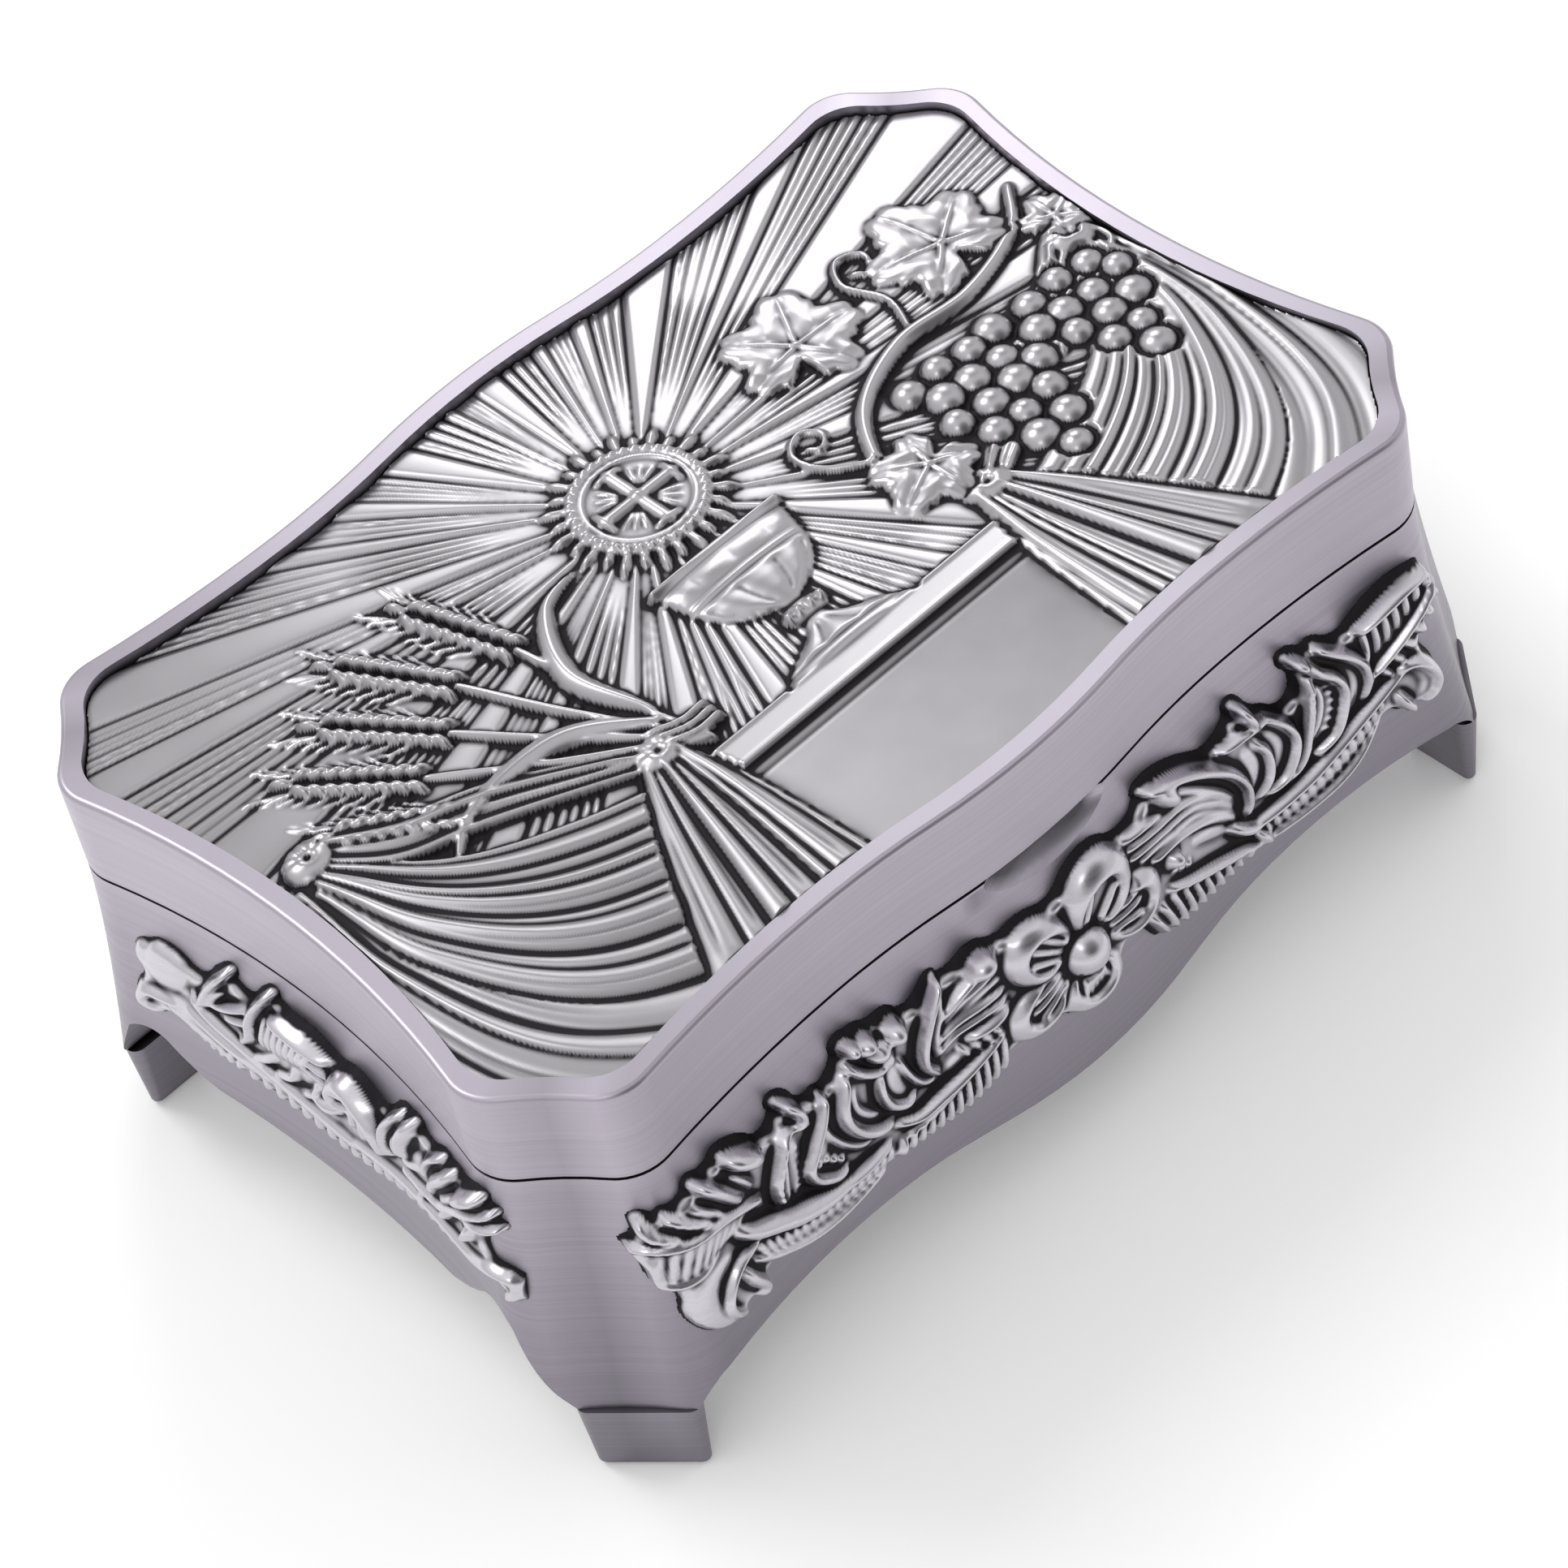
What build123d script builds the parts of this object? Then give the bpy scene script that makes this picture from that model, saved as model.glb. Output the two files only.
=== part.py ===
"""Rosary box: a footed cast-metal keepsake box with a hinged lid.

Frame: origin on the ground under the middle of the box, +X to the right along
the long front, +Y towards the hinged back, +Z up. Millimetres.
"""
import math
import os

from build123d import *

# ---- driving sizes -----------------------------------------------------------
# Plan of the box at the lid
lid_length = 102.0          # X, over the corners before they are rounded
lid_depth = 67.6            # Y, over the corners before they are rounded
corner_run_x = 7.8          # the cut corner, measured along X
corner_run_y = 9.2          # the cut corner, measured along Y
corner_scallop = 0.6        # how deep the cut corner is hollowed
corner_round = 4.5          # radius where a side meets the cut corner
crown_inset = 0.3           # middle of a long side, inside its corners
crown_share = 0.45          # of the way to that deepest place, where the curve turns
dip_inset = 1.9             # deepest place of a long side, inside its corners
side_inset = 3.3            # middle of a short side, inside its corners

# Heights
foot_height = 8.0
skirt_height = 25.4         # leg bottoms to the seam
lid_height = 9.8            # seam to the rim
floor_rise = 10.2           # leg bottoms to the underside of the floor plate

# Casting
wall = 2.2
leg_flare = 3.0             # how far the legs stand out at their bottoms
flare_power = 1.4           # how late the flare begins
ledge_reach = 2.4           # ledge that carries the floor plate
ledge_thickness = 1.2
seam_break = 0.35           # broken lower edge of the lid
post_depth = 6.6            # solid corner post, measured square to the cut corner

# Arched lower edges, heights above the leg bottoms
front_leg_reach = 6.0       # corner to the inner edge of a leg, along X
front_leg_step = 2.4
front_leg_lean = 2.6        # how far a leg's inner edge leans
front_leg_bulge = 1.1       # of that lean, at the knee
front_leg_knee = 0.6        # share of the step at the knee
front_arch_rise = 3.0
front_cusp_x = 13.0
front_cusp_rise = 1.7
front_lobe_rise = 0.9
side_leg_reach = 5.6        # corner to the inner edge of a leg, along Y
side_leg_slope = 4.4        # how far that edge leans in before the arch
side_leg_bow = 0.62         # share of that lean reached half way up
side_arch_width = 4.6
side_arch_rise = 8.8
side_lobe_y = 14.5
side_lobe_end_rise = 5.3
side_lobe_rise = 4.6
side_arch_shoulder = 1.0    # the arch springs this far under its top
side_cusp_shift = 0.5
side_cusp_lift = 0.7

# Lid
rim_width = 2.0
rim_round = 0.5
panel_recess = 1.2
panel_thickness = 1.0
lid_ledge_reach = 2.0
lid_ledge_thickness = 0.8
board_thickness = 0.8
lid_pad_thickness = 1.2

# Thumb notch under the seam, at the front
notch_half_length = 9.1     # on its axis; about 7.3 where it leaves the wall
notch_radius = 2.9
notch_stand_off = 1.1       # notch axis in front of the crown
notch_drop = 0.3            # notch axis under the seam

# Floor and linings
floor_thickness = 1.0
floor_pad_thickness = 1.5
lining_thickness = 1.2
lining_top_gap = 1.0        # linings stop this far under the seam
piece_gap = 0.1             # clearance between fitted pieces
soft_gap = 0.3              # clearance round soft pieces

# Feet
foot_inset = 0.1            # outer face behind the leg's
foot_overlap = 1.0          # inner faces inside the leg's
foot_taper = 4.0            # degrees
foot_round = 0.8            # round the foot's lowest edge
foot_corner_round = 1.1

# Hinges
hinge_place = 21.6          # middle of each hinge, from the middle of the box
leaf_width = 12.0
leaf_height = 4.6
leaf_thickness = 1.0
arm_thickness = 0.9
arm_gap = 0.15              # each arm lies this far from the seam
knuckle_radius = 1.5
knuckle_gap = 0.15
middle_knuckle = 4.2
pin_radius = 0.75
pin_clearance = 0.05
pin_head_radius = 1.2
pin_head_height = 0.5
hinge_back_off = 0.8        # pin axis behind the corners of the plan

# Screws
small_screw_radius = 0.55
small_head_radius = 1.0
small_head_height = 0.5
small_screw_pitch = 6.4     # between the two screws of a leaf
small_screw_rise = 0.6      # share of a leaf's height from the seam
floor_screw_radius = 1.0
floor_screw_length = 5.0
floor_head_radius = 1.9
floor_head_height = 0.6
foot_screw_radius = 0.7
foot_screw_grip = 4.0       # thread in the leg
foot_head_radius = 1.2
foot_head_height = 0.5
foot_head_sink = 0.3        # head inside the foot
hole_clearance = 0.05

# Ornament castings, heights above the wall they sit on
boss_height = 3.2
petal_height = 2.4
leaf_relief = 2.0
stem_height = 1.5
front_ornament_drop = 12.0  # seam to the flower's middle
side_ornament_drop = 10.0   # seam to the shell's middle
front_ornament_past = 1.6   # its ends lie this far past the start of the cut corners
side_ornament_short = 1.4   # its ends stay this far short of them
boss_radius = 2.3
petal_distance = 5.5
petal_length = 3.4
petal_breadth = 2.9
first_petal_turn = 64.0     # degrees
scroll_radius = 3.2
scroll_eye = 1.4
side_shell_radius = 4.4
side_bud_share = 0.5        # of the shell
side_scroll_radius = 2.2

# Relief plate
ray_height = 0.35
ray_count = 26
ray_share = 0.5             # of each ray's pitch
ray_margin = 0.6
host_y = 11.0
host_radius = 6.0
cup_top_y = 2.0
cup_half = 7.0
bowl_depth = 8.6
stem_half = 1.2
stem_length = 1.2
knop_half = 1.4
cup_foot_half = 6.4
cup_foot_rise = 3.4
cup_foot_hollow = 0.7
cup_foot_edge = 1.2
chalice_height = 1.3
wheat_ears = 5
wheat_first_turn = 104.0
wheat_turn_step = 13.0
wheat_tie = (-13.0, -18.0)
wheat_tie_radius = 1.6
wheat_stalk = 21.0
wheat_ear = 14.0
wheat_half = 2.0
wheat_stalk_half = 0.5
wheat_height = 1.1
vine_leaves = [(20.0, 14.0, 8.0, 20.0), (36.0, 9.0, 8.5, 70.0), (17.0, -6.0, 6.0, 200.0)]
vine_notch_share = 0.52     # of a leaf's size
grape_bunches = [(26.0, 1.5, (4, 3, 3, 2, 1)), (38.0, -5.0, (3, 3, 2, 1))]
berry_radius = 1.9
berry_pitch = 4.1
berry_row_pitch = 3.7
berry_height = 1.6
cloth_y = -19.0
cloth_half = 40.0
drape_folds = 3
drape_step = 2.2            # between folds, at the middle
drape_shortening = 8.0      # each fold's end from the next one's
drape_sag = 4.4
drape_sag_step = 1.2
drape_breadth = 2.4
drape_height = 0.9

# ---- sizes that follow -------------------------------------------------------
leg_z = foot_height
seam_z = foot_height + skirt_height
rim_z = seam_z + lid_height
floor_z = leg_z + floor_rise
floor_top_z = floor_z + floor_thickness
half_length = lid_length / 2
half_depth = lid_depth / 2
corner_x = half_length - corner_run_x
corner_y = half_depth - corner_run_y
corner_slant = math.hypot(corner_run_x, corner_run_y)
corner_out = Vector(corner_run_y / corner_slant, corner_run_x / corner_slant)
dip_x = hinge_place
panel_top_z = rim_z - panel_recess
panel_low_z = panel_top_z - panel_thickness
lid_ledge_low_z = panel_low_z - lid_ledge_thickness
board_low_z = lid_ledge_low_z - board_thickness
lid_pad_low_z = board_low_z - lid_pad_thickness
hinge_axis_y = half_depth + hinge_back_off
dip_y = half_depth - dip_inset
far = 3 * lid_length        # longer than anything it has to cut
flare_levels = [leg_z + skirt_height * share for share in (0.0, 0.25, 0.5, 0.75, 1.0)]

os.makedirs("parts", exist_ok=True)


def save(node, shape):
    """Write one node."""
    shape.label = node
    export_step(shape, f"parts/{node}.step")


# ---- plan of the box ---------------------------------------------------------
def quarter_plan(grow):
    """Edges of one quarter of the plan, from the long side's middle to the short side's."""
    long_y = half_depth + grow
    short_x = half_length + grow
    crown = Vector(0, long_y - crown_inset)
    dip = Vector(dip_x, long_y - dip_inset)
    turn = crown + (dip - crown) * crown_share
    long_end = Vector(corner_x + grow * (1 - corner_out.Y) / corner_out.X, long_y)
    short_end = Vector(short_x, corner_y + grow * (1 - corner_out.X) / corner_out.Y)
    waist = Vector(short_x - side_inset, 0)
    hollow = (long_end + short_end) / 2 - corner_out * corner_scallop
    bulge = TangentArc(crown, turn, tangent=(1, 0))
    sweep = TangentArc(turn, dip, tangent=bulge % 1)
    rise = TangentArc(dip, long_end, tangent=(1, 0))
    scallop = ThreePointArc(long_end, hollow, short_end)
    flank = TangentArc(waist, short_end, tangent=(0, 1))
    return [bulge, sweep, rise, scallop, flank]


def plan(grow=0.0):
    """Face of the plan: crowned long sides, hollow short sides, scalloped corners."""
    quarter = quarter_plan(grow)
    back = quarter + [edge.mirror(Plane.YZ) for edge in quarter]
    edges = back + [edge.mirror(Plane.XZ) for edge in back]
    face = make_face(edges).face()
    bends = [v for v in face.vertices() if abs(v.Y) > (corner_y + grow) * 0.9 and abs(v.X) > dip_x * 1.2]
    return fillet(bends, corner_round)


def prism(grow, low, high):
    """Straight-sided solid on the plan."""
    return Pos(0, 0, low) * extrude(plan(grow), high - low)


def flare(z):
    """How far the casting stands out at a height under the seam."""
    return leg_flare * ((seam_z - z) / skirt_height) ** flare_power


def flared(grow):
    """Solid of the flared casting, leg bottoms to the seam."""
    return loft([Pos(0, 0, z) * plan(grow + flare(z)) for z in flare_levels])


def block(low, high):
    """Box between two corners."""
    low, high = Vector(*low), Vector(*high)
    size = high - low
    middle = (low + high) / 2
    return Pos(middle.X, middle.Y, middle.Z) * Box(size.X, size.Y, size.Z)


corners = [(sx, sy) for sx in (-1, 1) for sy in (-1, 1)]


# ---- body casting ------------------------------------------------------------
def front_arch_cutter():
    """Solid under the arched lower edges of the front and the back."""
    z = leg_z
    foot = half_length - front_leg_reach
    top = foot - front_leg_lean
    lines = [
        Line((-foot, z - 1), (-foot, z)),
        ThreePointArc(
            (-foot, z),
            (-foot + front_leg_bulge, z + front_leg_step * front_leg_knee),
            (-top, z + front_leg_step),
        ),
        ThreePointArc(
            (-top, z + front_leg_step),
            (-(top + front_cusp_x) / 2, z + front_arch_rise),
            (-front_cusp_x, z + front_cusp_rise),
        ),
        ThreePointArc(
            (-front_cusp_x, z + front_cusp_rise),
            (0, z + front_lobe_rise),
            (front_cusp_x, z + front_cusp_rise),
        ),
    ]
    lines += [edge.mirror(Plane.YZ) for edge in lines[:3]]
    lines.append(Line((-foot, z - 1), (foot, z - 1)))
    return extrude(Plane.XZ * make_face(lines), far, both=True)


def side_arch_cutter():
    """Solid under the arched lower edges of the short sides."""
    z = leg_z
    foot = half_depth - side_leg_reach
    arch_out = foot - side_leg_slope
    arch_in = arch_out - side_arch_width
    leg_waist = foot - side_leg_slope * side_leg_bow
    arch_spring = z + side_arch_rise - side_arch_shoulder
    lines = [
        Line((-foot, z - 1), (-foot, z)),
        ThreePointArc((-foot, z), (-leg_waist, z + side_arch_rise / 2), (-arch_out, arch_spring)),
        ThreePointArc(
            (-arch_out, arch_spring),
            (-(arch_out + arch_in) / 2, z + side_arch_rise),
            (-arch_in, arch_spring),
        ),
        ThreePointArc(
            (-arch_in, arch_spring),
            (-(arch_in + side_lobe_y) / 2 + side_cusp_shift, z + side_lobe_end_rise + side_cusp_lift),
            (-side_lobe_y, z + side_lobe_end_rise),
        ),
        ThreePointArc(
            (-side_lobe_y, z + side_lobe_end_rise),
            (0, z + side_lobe_rise),
            (side_lobe_y, z + side_lobe_end_rise),
        ),
    ]
    lines += [edge.mirror(Plane.YZ) for edge in lines[:4]]
    lines.append(Line((-foot, z - 1), (foot, z - 1)))
    return extrude(Plane.YZ * make_face(lines), far, both=True)


def corner_posts():
    """Solid posts in the four corners, cut square to the scalloped corners."""
    slab = flared(-wall / 2) - block((-far, -far, floor_z), (far, far, rim_z))
    reach = corner_x * corner_out.X + half_depth * corner_out.Y - post_depth
    beyond = []
    for sx, sy in corners:
        out = Vector(corner_out.X * sx, corner_out.Y * sy)
        face = Plane(origin=out * reach, x_dir=(0, 0, 1), z_dir=out)
        beyond.append(face * Pos(0, 0, far / 2) * Box(far, far, far))
    return [slab & half for half in beyond]


def thumb_notch():
    """Spindle that scoops the front edge of the casting, under the lid."""
    ends = (-notch_half_length, 0), (notch_half_length, 0)
    arc = ThreePointArc(ends[0], (0, notch_radius), ends[1])
    spindle = revolve(make_face([arc, Line(*ends)]), Axis.X, 360)
    return Pos(0, -(half_depth - crown_inset + notch_stand_off), seam_z - notch_drop) * spindle


def leaf_pocket(side, direction):
    """Flat seat for one hinge leaf, direction -1 under the seam and +1 above it."""
    half = leaf_width / 2 + piece_gap
    low, high = sorted((seam_z, seam_z + direction * (leaf_height + piece_gap)))
    middle = side * hinge_place
    seat = dip_y - leaf_thickness
    return block((middle - half, seat, low), (middle + half, half_depth + leg_flare, high))


def screw(radius, head_radius, head_height, length, clearance=0.0):
    """Countersunk screw along -Z, its head's top at the origin."""
    top = (Align.CENTER, Align.CENTER, Align.MAX)
    head = Cone(radius + clearance, head_radius + clearance, head_height, align=top)
    return head + Cylinder(radius + clearance, length + clearance, align=top)


def leaf_screw(x, z, clearance=0.0):
    """Screw that holds a leaf to the back wall."""
    body = screw(small_screw_radius, small_head_radius, small_head_height, wall - piece_gap, clearance)
    return Pos(x, dip_y, z) * Rot(-90, 0, 0) * body


def leaf_screw_places(direction):
    """Centres of the leaf screws of both hinges on one side of the seam."""
    z = seam_z + direction * leaf_height * small_screw_rise
    halves = (-small_screw_pitch / 2, small_screw_pitch / 2)
    return [(side * hinge_place + half, z) for side in (-1, 1) for half in halves]


def floor_screw_places():
    """Centres of the floor screws, one over each corner post."""
    inward = wall + floor_head_radius + 4 * piece_gap
    x = (corner_x + half_length) / 2 - corner_out.X * inward
    y = (half_depth + corner_y) / 2 - corner_out.Y * inward
    return [(sx * x, sy * y) for sx, sy in corners]


def floor_screw(x, y, clearance=0.0):
    """Screw that holds the floor plate down on a post."""
    body = screw(floor_screw_radius, floor_head_radius, floor_head_height, floor_screw_length, clearance)
    return Pos(x, y, floor_top_z) * body


def foot_face():
    """Top face of one foot: a rounded triangle under the right back leg."""
    x0 = half_length - front_leg_reach - foot_overlap
    y0 = half_depth - side_leg_reach - foot_overlap
    cut = corner_x * corner_out.X + half_depth * corner_out.Y + leg_flare - foot_inset
    x1 = (cut - corner_out.Y * y0) / corner_out.X
    y1 = (cut - corner_out.X * x0) / corner_out.Y
    face = make_face(Polyline((x0, y0), (x1, y0), (x0, y1), close=True)).face()
    return fillet(face.vertices(), foot_corner_round)


foot_top = foot_face()
foot_middle = foot_top.center()
foot_places = [(sx * foot_middle.X, sy * foot_middle.Y) for sx, sy in corners]


def foot_screw(x, y, clearance=0.0):
    """Screw up through a foot into its leg."""
    length = leg_z - foot_head_sink + foot_screw_grip
    body = screw(foot_screw_radius, foot_head_radius, foot_head_height, length, clearance)
    return Pos(x, y, foot_head_sink) * Rot(180, 0, 0) * body


outer_casting = flared(0)
ledge_low_z = floor_z - ledge_thickness


def body_casting():
    """Walls, arched skirt, legs and floor ledge."""
    cavity = prism(-wall, floor_z, seam_z)
    opening = prism(-wall - ledge_reach, leg_z, floor_z)
    skirt = flared(-wall) - block((-far, -far, ledge_low_z), (far, far, rim_z))
    shape = outer_casting - cavity - opening - skirt
    for post in corner_posts():
        shape += post
    shape = shape - front_arch_cutter() - side_arch_cutter() - thumb_notch()
    for side in (-1, 1):
        shape -= leaf_pocket(side, -1)
    for x, z in leaf_screw_places(-1):
        shape -= leaf_screw(x, z, hole_clearance)
    for x, y in floor_screw_places():
        shape -= floor_screw(x, y, hole_clearance)
    for x, y in foot_places:
        shape -= foot_screw(x, y, hole_clearance)
    return shape


save("body_casting", body_casting())


# ---- feet --------------------------------------------------------------------
def foot():
    """Tapered foot under the right back leg, with its screw hole."""
    shape = Pos(0, 0, leg_z) * extrude(foot_top, -foot_height, taper=foot_taper)
    rest = shape.faces().sort_by(Axis.Z)[0]
    shape = fillet(rest.edges(), foot_round)
    return shape - foot_screw(foot_middle.X, foot_middle.Y, hole_clearance)


right_back_foot = foot()
left_back_foot = right_back_foot.mirror(Plane.YZ)
save("foot_back_right", right_back_foot)
save("foot_back_left", left_back_foot)
save("foot_front_right", right_back_foot.mirror(Plane.XZ))
save("foot_front_left", left_back_foot.mirror(Plane.XZ))
save("foot_screws", Compound([foot_screw(x, y) for x, y in foot_places]))


# ---- floor and linings -------------------------------------------------------
plate = prism(-wall - piece_gap, floor_z, floor_top_z)
for x, y in floor_screw_places():
    plate -= floor_screw(x, y, hole_clearance)
save("floor_plate", plate)
save("floor_screws", Compound([floor_screw(x, y) for x, y in floor_screw_places()]))

lining_out = wall + piece_gap
lining_in = lining_out + lining_thickness
save("floor_pad", prism(-lining_in - soft_gap, floor_top_z, floor_top_z + floor_pad_thickness))

lining_ring = prism(-lining_out, floor_top_z, seam_z - lining_top_gap)
lining_ring -= prism(-lining_in, floor_z, rim_z)
corner_aim = Vector(corner_x + half_length, corner_y + half_depth).normalized() * far


def sector(a, b, shift):
    """Tall wedge from the middle of the box between two directions, moved out a little."""
    wedge = extrude(make_face(Polyline((0, 0), a, b, close=True)), rim_z)
    return Pos(*shift) * wedge


ax, ay = corner_aim.X, corner_aim.Y
lining_sectors = {
    "lining_front": sector((-ax, -ay), (ax, -ay), (0, -piece_gap, 0)),
    "lining_back": sector((ax, ay), (-ax, ay), (0, piece_gap, 0)),
    "lining_left": sector((-ax, ay), (-ax, -ay), (-piece_gap, 0, 0)),
    "lining_right": sector((ax, -ay), (ax, ay), (piece_gap, 0, 0)),
}
for name, wedge in lining_sectors.items():
    save(name, lining_ring & wedge)


# ---- hinges ------------------------------------------------------------------
def cylinder_x(radius, x0, x1):
    """Cylinder along X about the hinge axis."""
    place = Pos((x0 + x1) / 2, hinge_axis_y, seam_z) * Rot(0, 90, 0)
    return place * Cylinder(radius, x1 - x0)


def hinge_leaf(side, direction):
    """Leaf let into the back wall, with its arms and knuckles."""
    middle = side * hinge_place
    half = leaf_width / 2
    inner = middle_knuckle / 2
    near = seam_z + direction * arm_gap
    low, high = sorted((near, seam_z + direction * leaf_height))
    shape = block((middle - half, dip_y - leaf_thickness, low), (middle + half, dip_y, high))
    if direction > 0:
        spans = [(middle - inner, middle + inner)]
    else:
        edge = inner + knuckle_gap
        spans = [(middle - half, middle - edge), (middle + edge, middle + half)]
    low, high = sorted((near, near + direction * arm_thickness))
    for x0, x1 in spans:
        shape += block((x0, dip_y - leaf_thickness, low), (x1, hinge_axis_y, high))
        shape += cylinder_x(knuckle_radius, x0, x1)
        shape -= cylinder_x(pin_radius + pin_clearance, x0, x1)
    for x, z in leaf_screw_places(direction):
        if x * side > 0:
            shape -= leaf_screw(x, z, hole_clearance)
    return shape


def hinge_pin(side):
    """Pin with a head at each end."""
    middle = side * hinge_place
    half = leaf_width / 2 + pin_clearance
    shape = cylinder_x(pin_radius, middle - half, middle + half)
    shape += cylinder_x(pin_head_radius, middle - half - pin_head_height, middle - half)
    shape += cylinder_x(pin_head_radius, middle + half, middle + half + pin_head_height)
    return shape


for side, name in ((-1, "left"), (1, "right")):
    save(f"hinge_{name}_base_leaf", hinge_leaf(side, -1))
    save(f"hinge_{name}_lid_leaf", hinge_leaf(side, 1))
    save(f"hinge_{name}_pin", hinge_pin(side))
save("hinge_base_screws", Compound([leaf_screw(x, z) for x, z in leaf_screw_places(-1)]))
save("hinge_lid_screws", Compound([leaf_screw(x, z) for x, z in leaf_screw_places(1)]))


# ---- lid ---------------------------------------------------------------------
def lid_frame():
    """Lid casting: rim, side band and the ledge that carries the relief plate."""
    shape = prism(0, seam_z, rim_z)
    top = shape.faces().sort_by(Axis.Z)[-1]
    shape = fillet(top.edges(), rim_round)
    low = shape.faces().sort_by(Axis.Z)[0]
    shape = chamfer(low.edges(), seam_break)
    shape -= prism(-rim_width, panel_low_z, rim_z)
    shape -= prism(-rim_width - lid_ledge_reach, lid_ledge_low_z, panel_low_z)
    shape -= prism(-wall, seam_z, lid_ledge_low_z)
    for side in (-1, 1):
        shape -= leaf_pocket(side, 1)
    for x, z in leaf_screw_places(1):
        shape -= leaf_screw(x, z, hole_clearance)
    return shape


save("lid_frame", lid_frame())
save("lid_board", prism(-wall - piece_gap, board_low_z, lid_ledge_low_z))
save("lid_pad", prism(-wall - soft_gap, lid_pad_low_z, board_low_z))


# ---- ornament castings -------------------------------------------------------
def lens(start, end, bow, other_bow):
    """Leaf outline between two points; each edge bows out to the left of the way along it."""
    start, end = Vector(*start), Vector(*end)
    way = end - start
    left = Vector(-way.Y, way.X).normalized()
    middle = (start + end) / 2
    edges = [ThreePointArc(start, middle + left * b, end) for b in (bow, other_bow)]
    return make_face(edges)


def disc(x, y, radius):
    """Round outline."""
    return Pos(x, y) * Circle(radius)


def petals(distance, length, breadth):
    """Five petals about the origin, the first one leaning to the right."""
    petal = Ellipse(length, breadth)
    turns = [first_petal_turn + 72 * k for k in range(5)]
    return [Rot(0, 0, turn) * Pos(distance, 0) * petal for turn in turns]


def front_outlines():
    """Front ornament by height: points from the flower's middle, X right and Y up."""
    scrolls = []
    for side, x, drop in ((-1, -40.2, 3.8), (1, 38.0, 3.4)):
        scrolls.append(disc(x, -drop, scroll_radius) - disc(x - side * 1.2, -drop - 0.3, scroll_eye))
    leaves = [
        lens((-16.6, -4.2), (-8.0, 6.4), 3.4, -0.8),
        lens((-16.6, -4.2), (-7.4, 1.8), 2.0, -0.4),
        lens((-14.5, -3.4), (-7.0, 0.4), 1.2, -0.8),
        lens((-26.0, 4.9), (-24.8, -4.6), -4.2, -0.8),
        lens((-21.0, 8.2), (-19.5, -4.6), -3.6, 3.2),
        lens((-33.0, -2.0), (-28.8, 7.4), 1.6, -1.8),
        lens((-34.0, -1.6), (-44.3, 5.8), -2.2, 5.0),
        lens((4.5, 2.9), (20.2, -4.6), 7.4, 1.6),
        lens((8.0, -3.6), (18.5, -4.4), 4.0, -0.6),
        lens((18.5, 7.9), (21.5, -4.6), 5.0, -1.6),
        lens((26.6, 8.4), (25.0, -4.6), 5.4, -0.4),
        lens((30.3, 7.2), (29.5, -4.0), 4.3, 1.0),
        lens((34.0, -1.6), (42.3, 6.8), 4.2, -2.6),
    ]
    stems = [
        lens((-38.0, -2.2), (-6.0, -2.6), -4.6, -1.2),
        lens((5.0, -2.8), (37.0, -1.6), -4.4, -1.0),
        lens((-43.3, -1.9), (-23.5, -4.2), 3.0, 0.8),
        lens((41.0, -1.8), (20.5, -4.4), -2.8, -0.6),
    ] + scrolls
    return {
        boss_height: [disc(0, 0, boss_radius)],
        petal_height: petals(petal_distance, petal_length, petal_breadth),
        leaf_relief: leaves,
        stem_height: stems,
    }


def side_outlines():
    """Short-side ornament by height: points from the middle of its shell."""
    leaves = []
    stems = []
    for side in (-1, 1):
        leaves += [
            lens((side * 3.4, -2.0), (side * 9.5, 5.0), side * 1.2, side * -3.0),
            lens((side * 8.4, -3.2), (side * 15.0, 4.2), side * 1.6, side * -1.9),
            lens((side * 13.0, -1.8), (side * 21.6, 3.4), side * 2.6, side * -2.2),
        ]
        stems += [
            lens((0, -3.6), (side * 20.6, -2.4), side * -2.2, side * 1.0),
            disc(side * 21.0, -2.9, side_scroll_radius),
        ]
    return {
        boss_height: [disc(0, 0, side_shell_radius * side_bud_share)],
        petal_height: [disc(0, 0, side_shell_radius)],
        leaf_relief: leaves,
        stem_height: stems,
    }


raised = {h: flared(h) for h in (boss_height, petal_height, leaf_relief, stem_height)}


def wall_ornament(outlines, wall_plane, reach, middle_z):
    """Casting that lies on the flared wall, each outline raised to its own height."""
    sketches = {height: Sketch() + faces for height, faces in outlines.items()}
    boxes = [sketch.bounding_box() for sketch in sketches.values()]
    drawn_reach = max(max(box.max.X, -box.min.X) for box in boxes)
    shape = None
    for height, sketch in sketches.items():
        flat = wall_plane * Pos(0, middle_z) * scale(sketch, (reach / drawn_reach, 1, 1))
        piece = extrude(flat, half_length + leg_flare + 2 * boss_height) & raised[height]
        shape = piece if shape is None else shape + piece
    return shape - outer_casting


front_reach = corner_x + front_ornament_past
front_ornament = wall_ornament(front_outlines(), Plane.XZ, front_reach, seam_z - front_ornament_drop)
left_plane = Plane(origin=(0, 0, 0), x_dir=(0, -1, 0), z_dir=(-1, 0, 0))
left_reach = corner_y - side_ornament_short
left_ornament = wall_ornament(side_outlines(), left_plane, left_reach, seam_z - side_ornament_drop)
save("ornament_front", front_ornament)
save("ornament_back", Rot(0, 0, 180) * front_ornament)
save("ornament_left", left_ornament)
save("ornament_right", Rot(0, 0, 180) * left_ornament)


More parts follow.
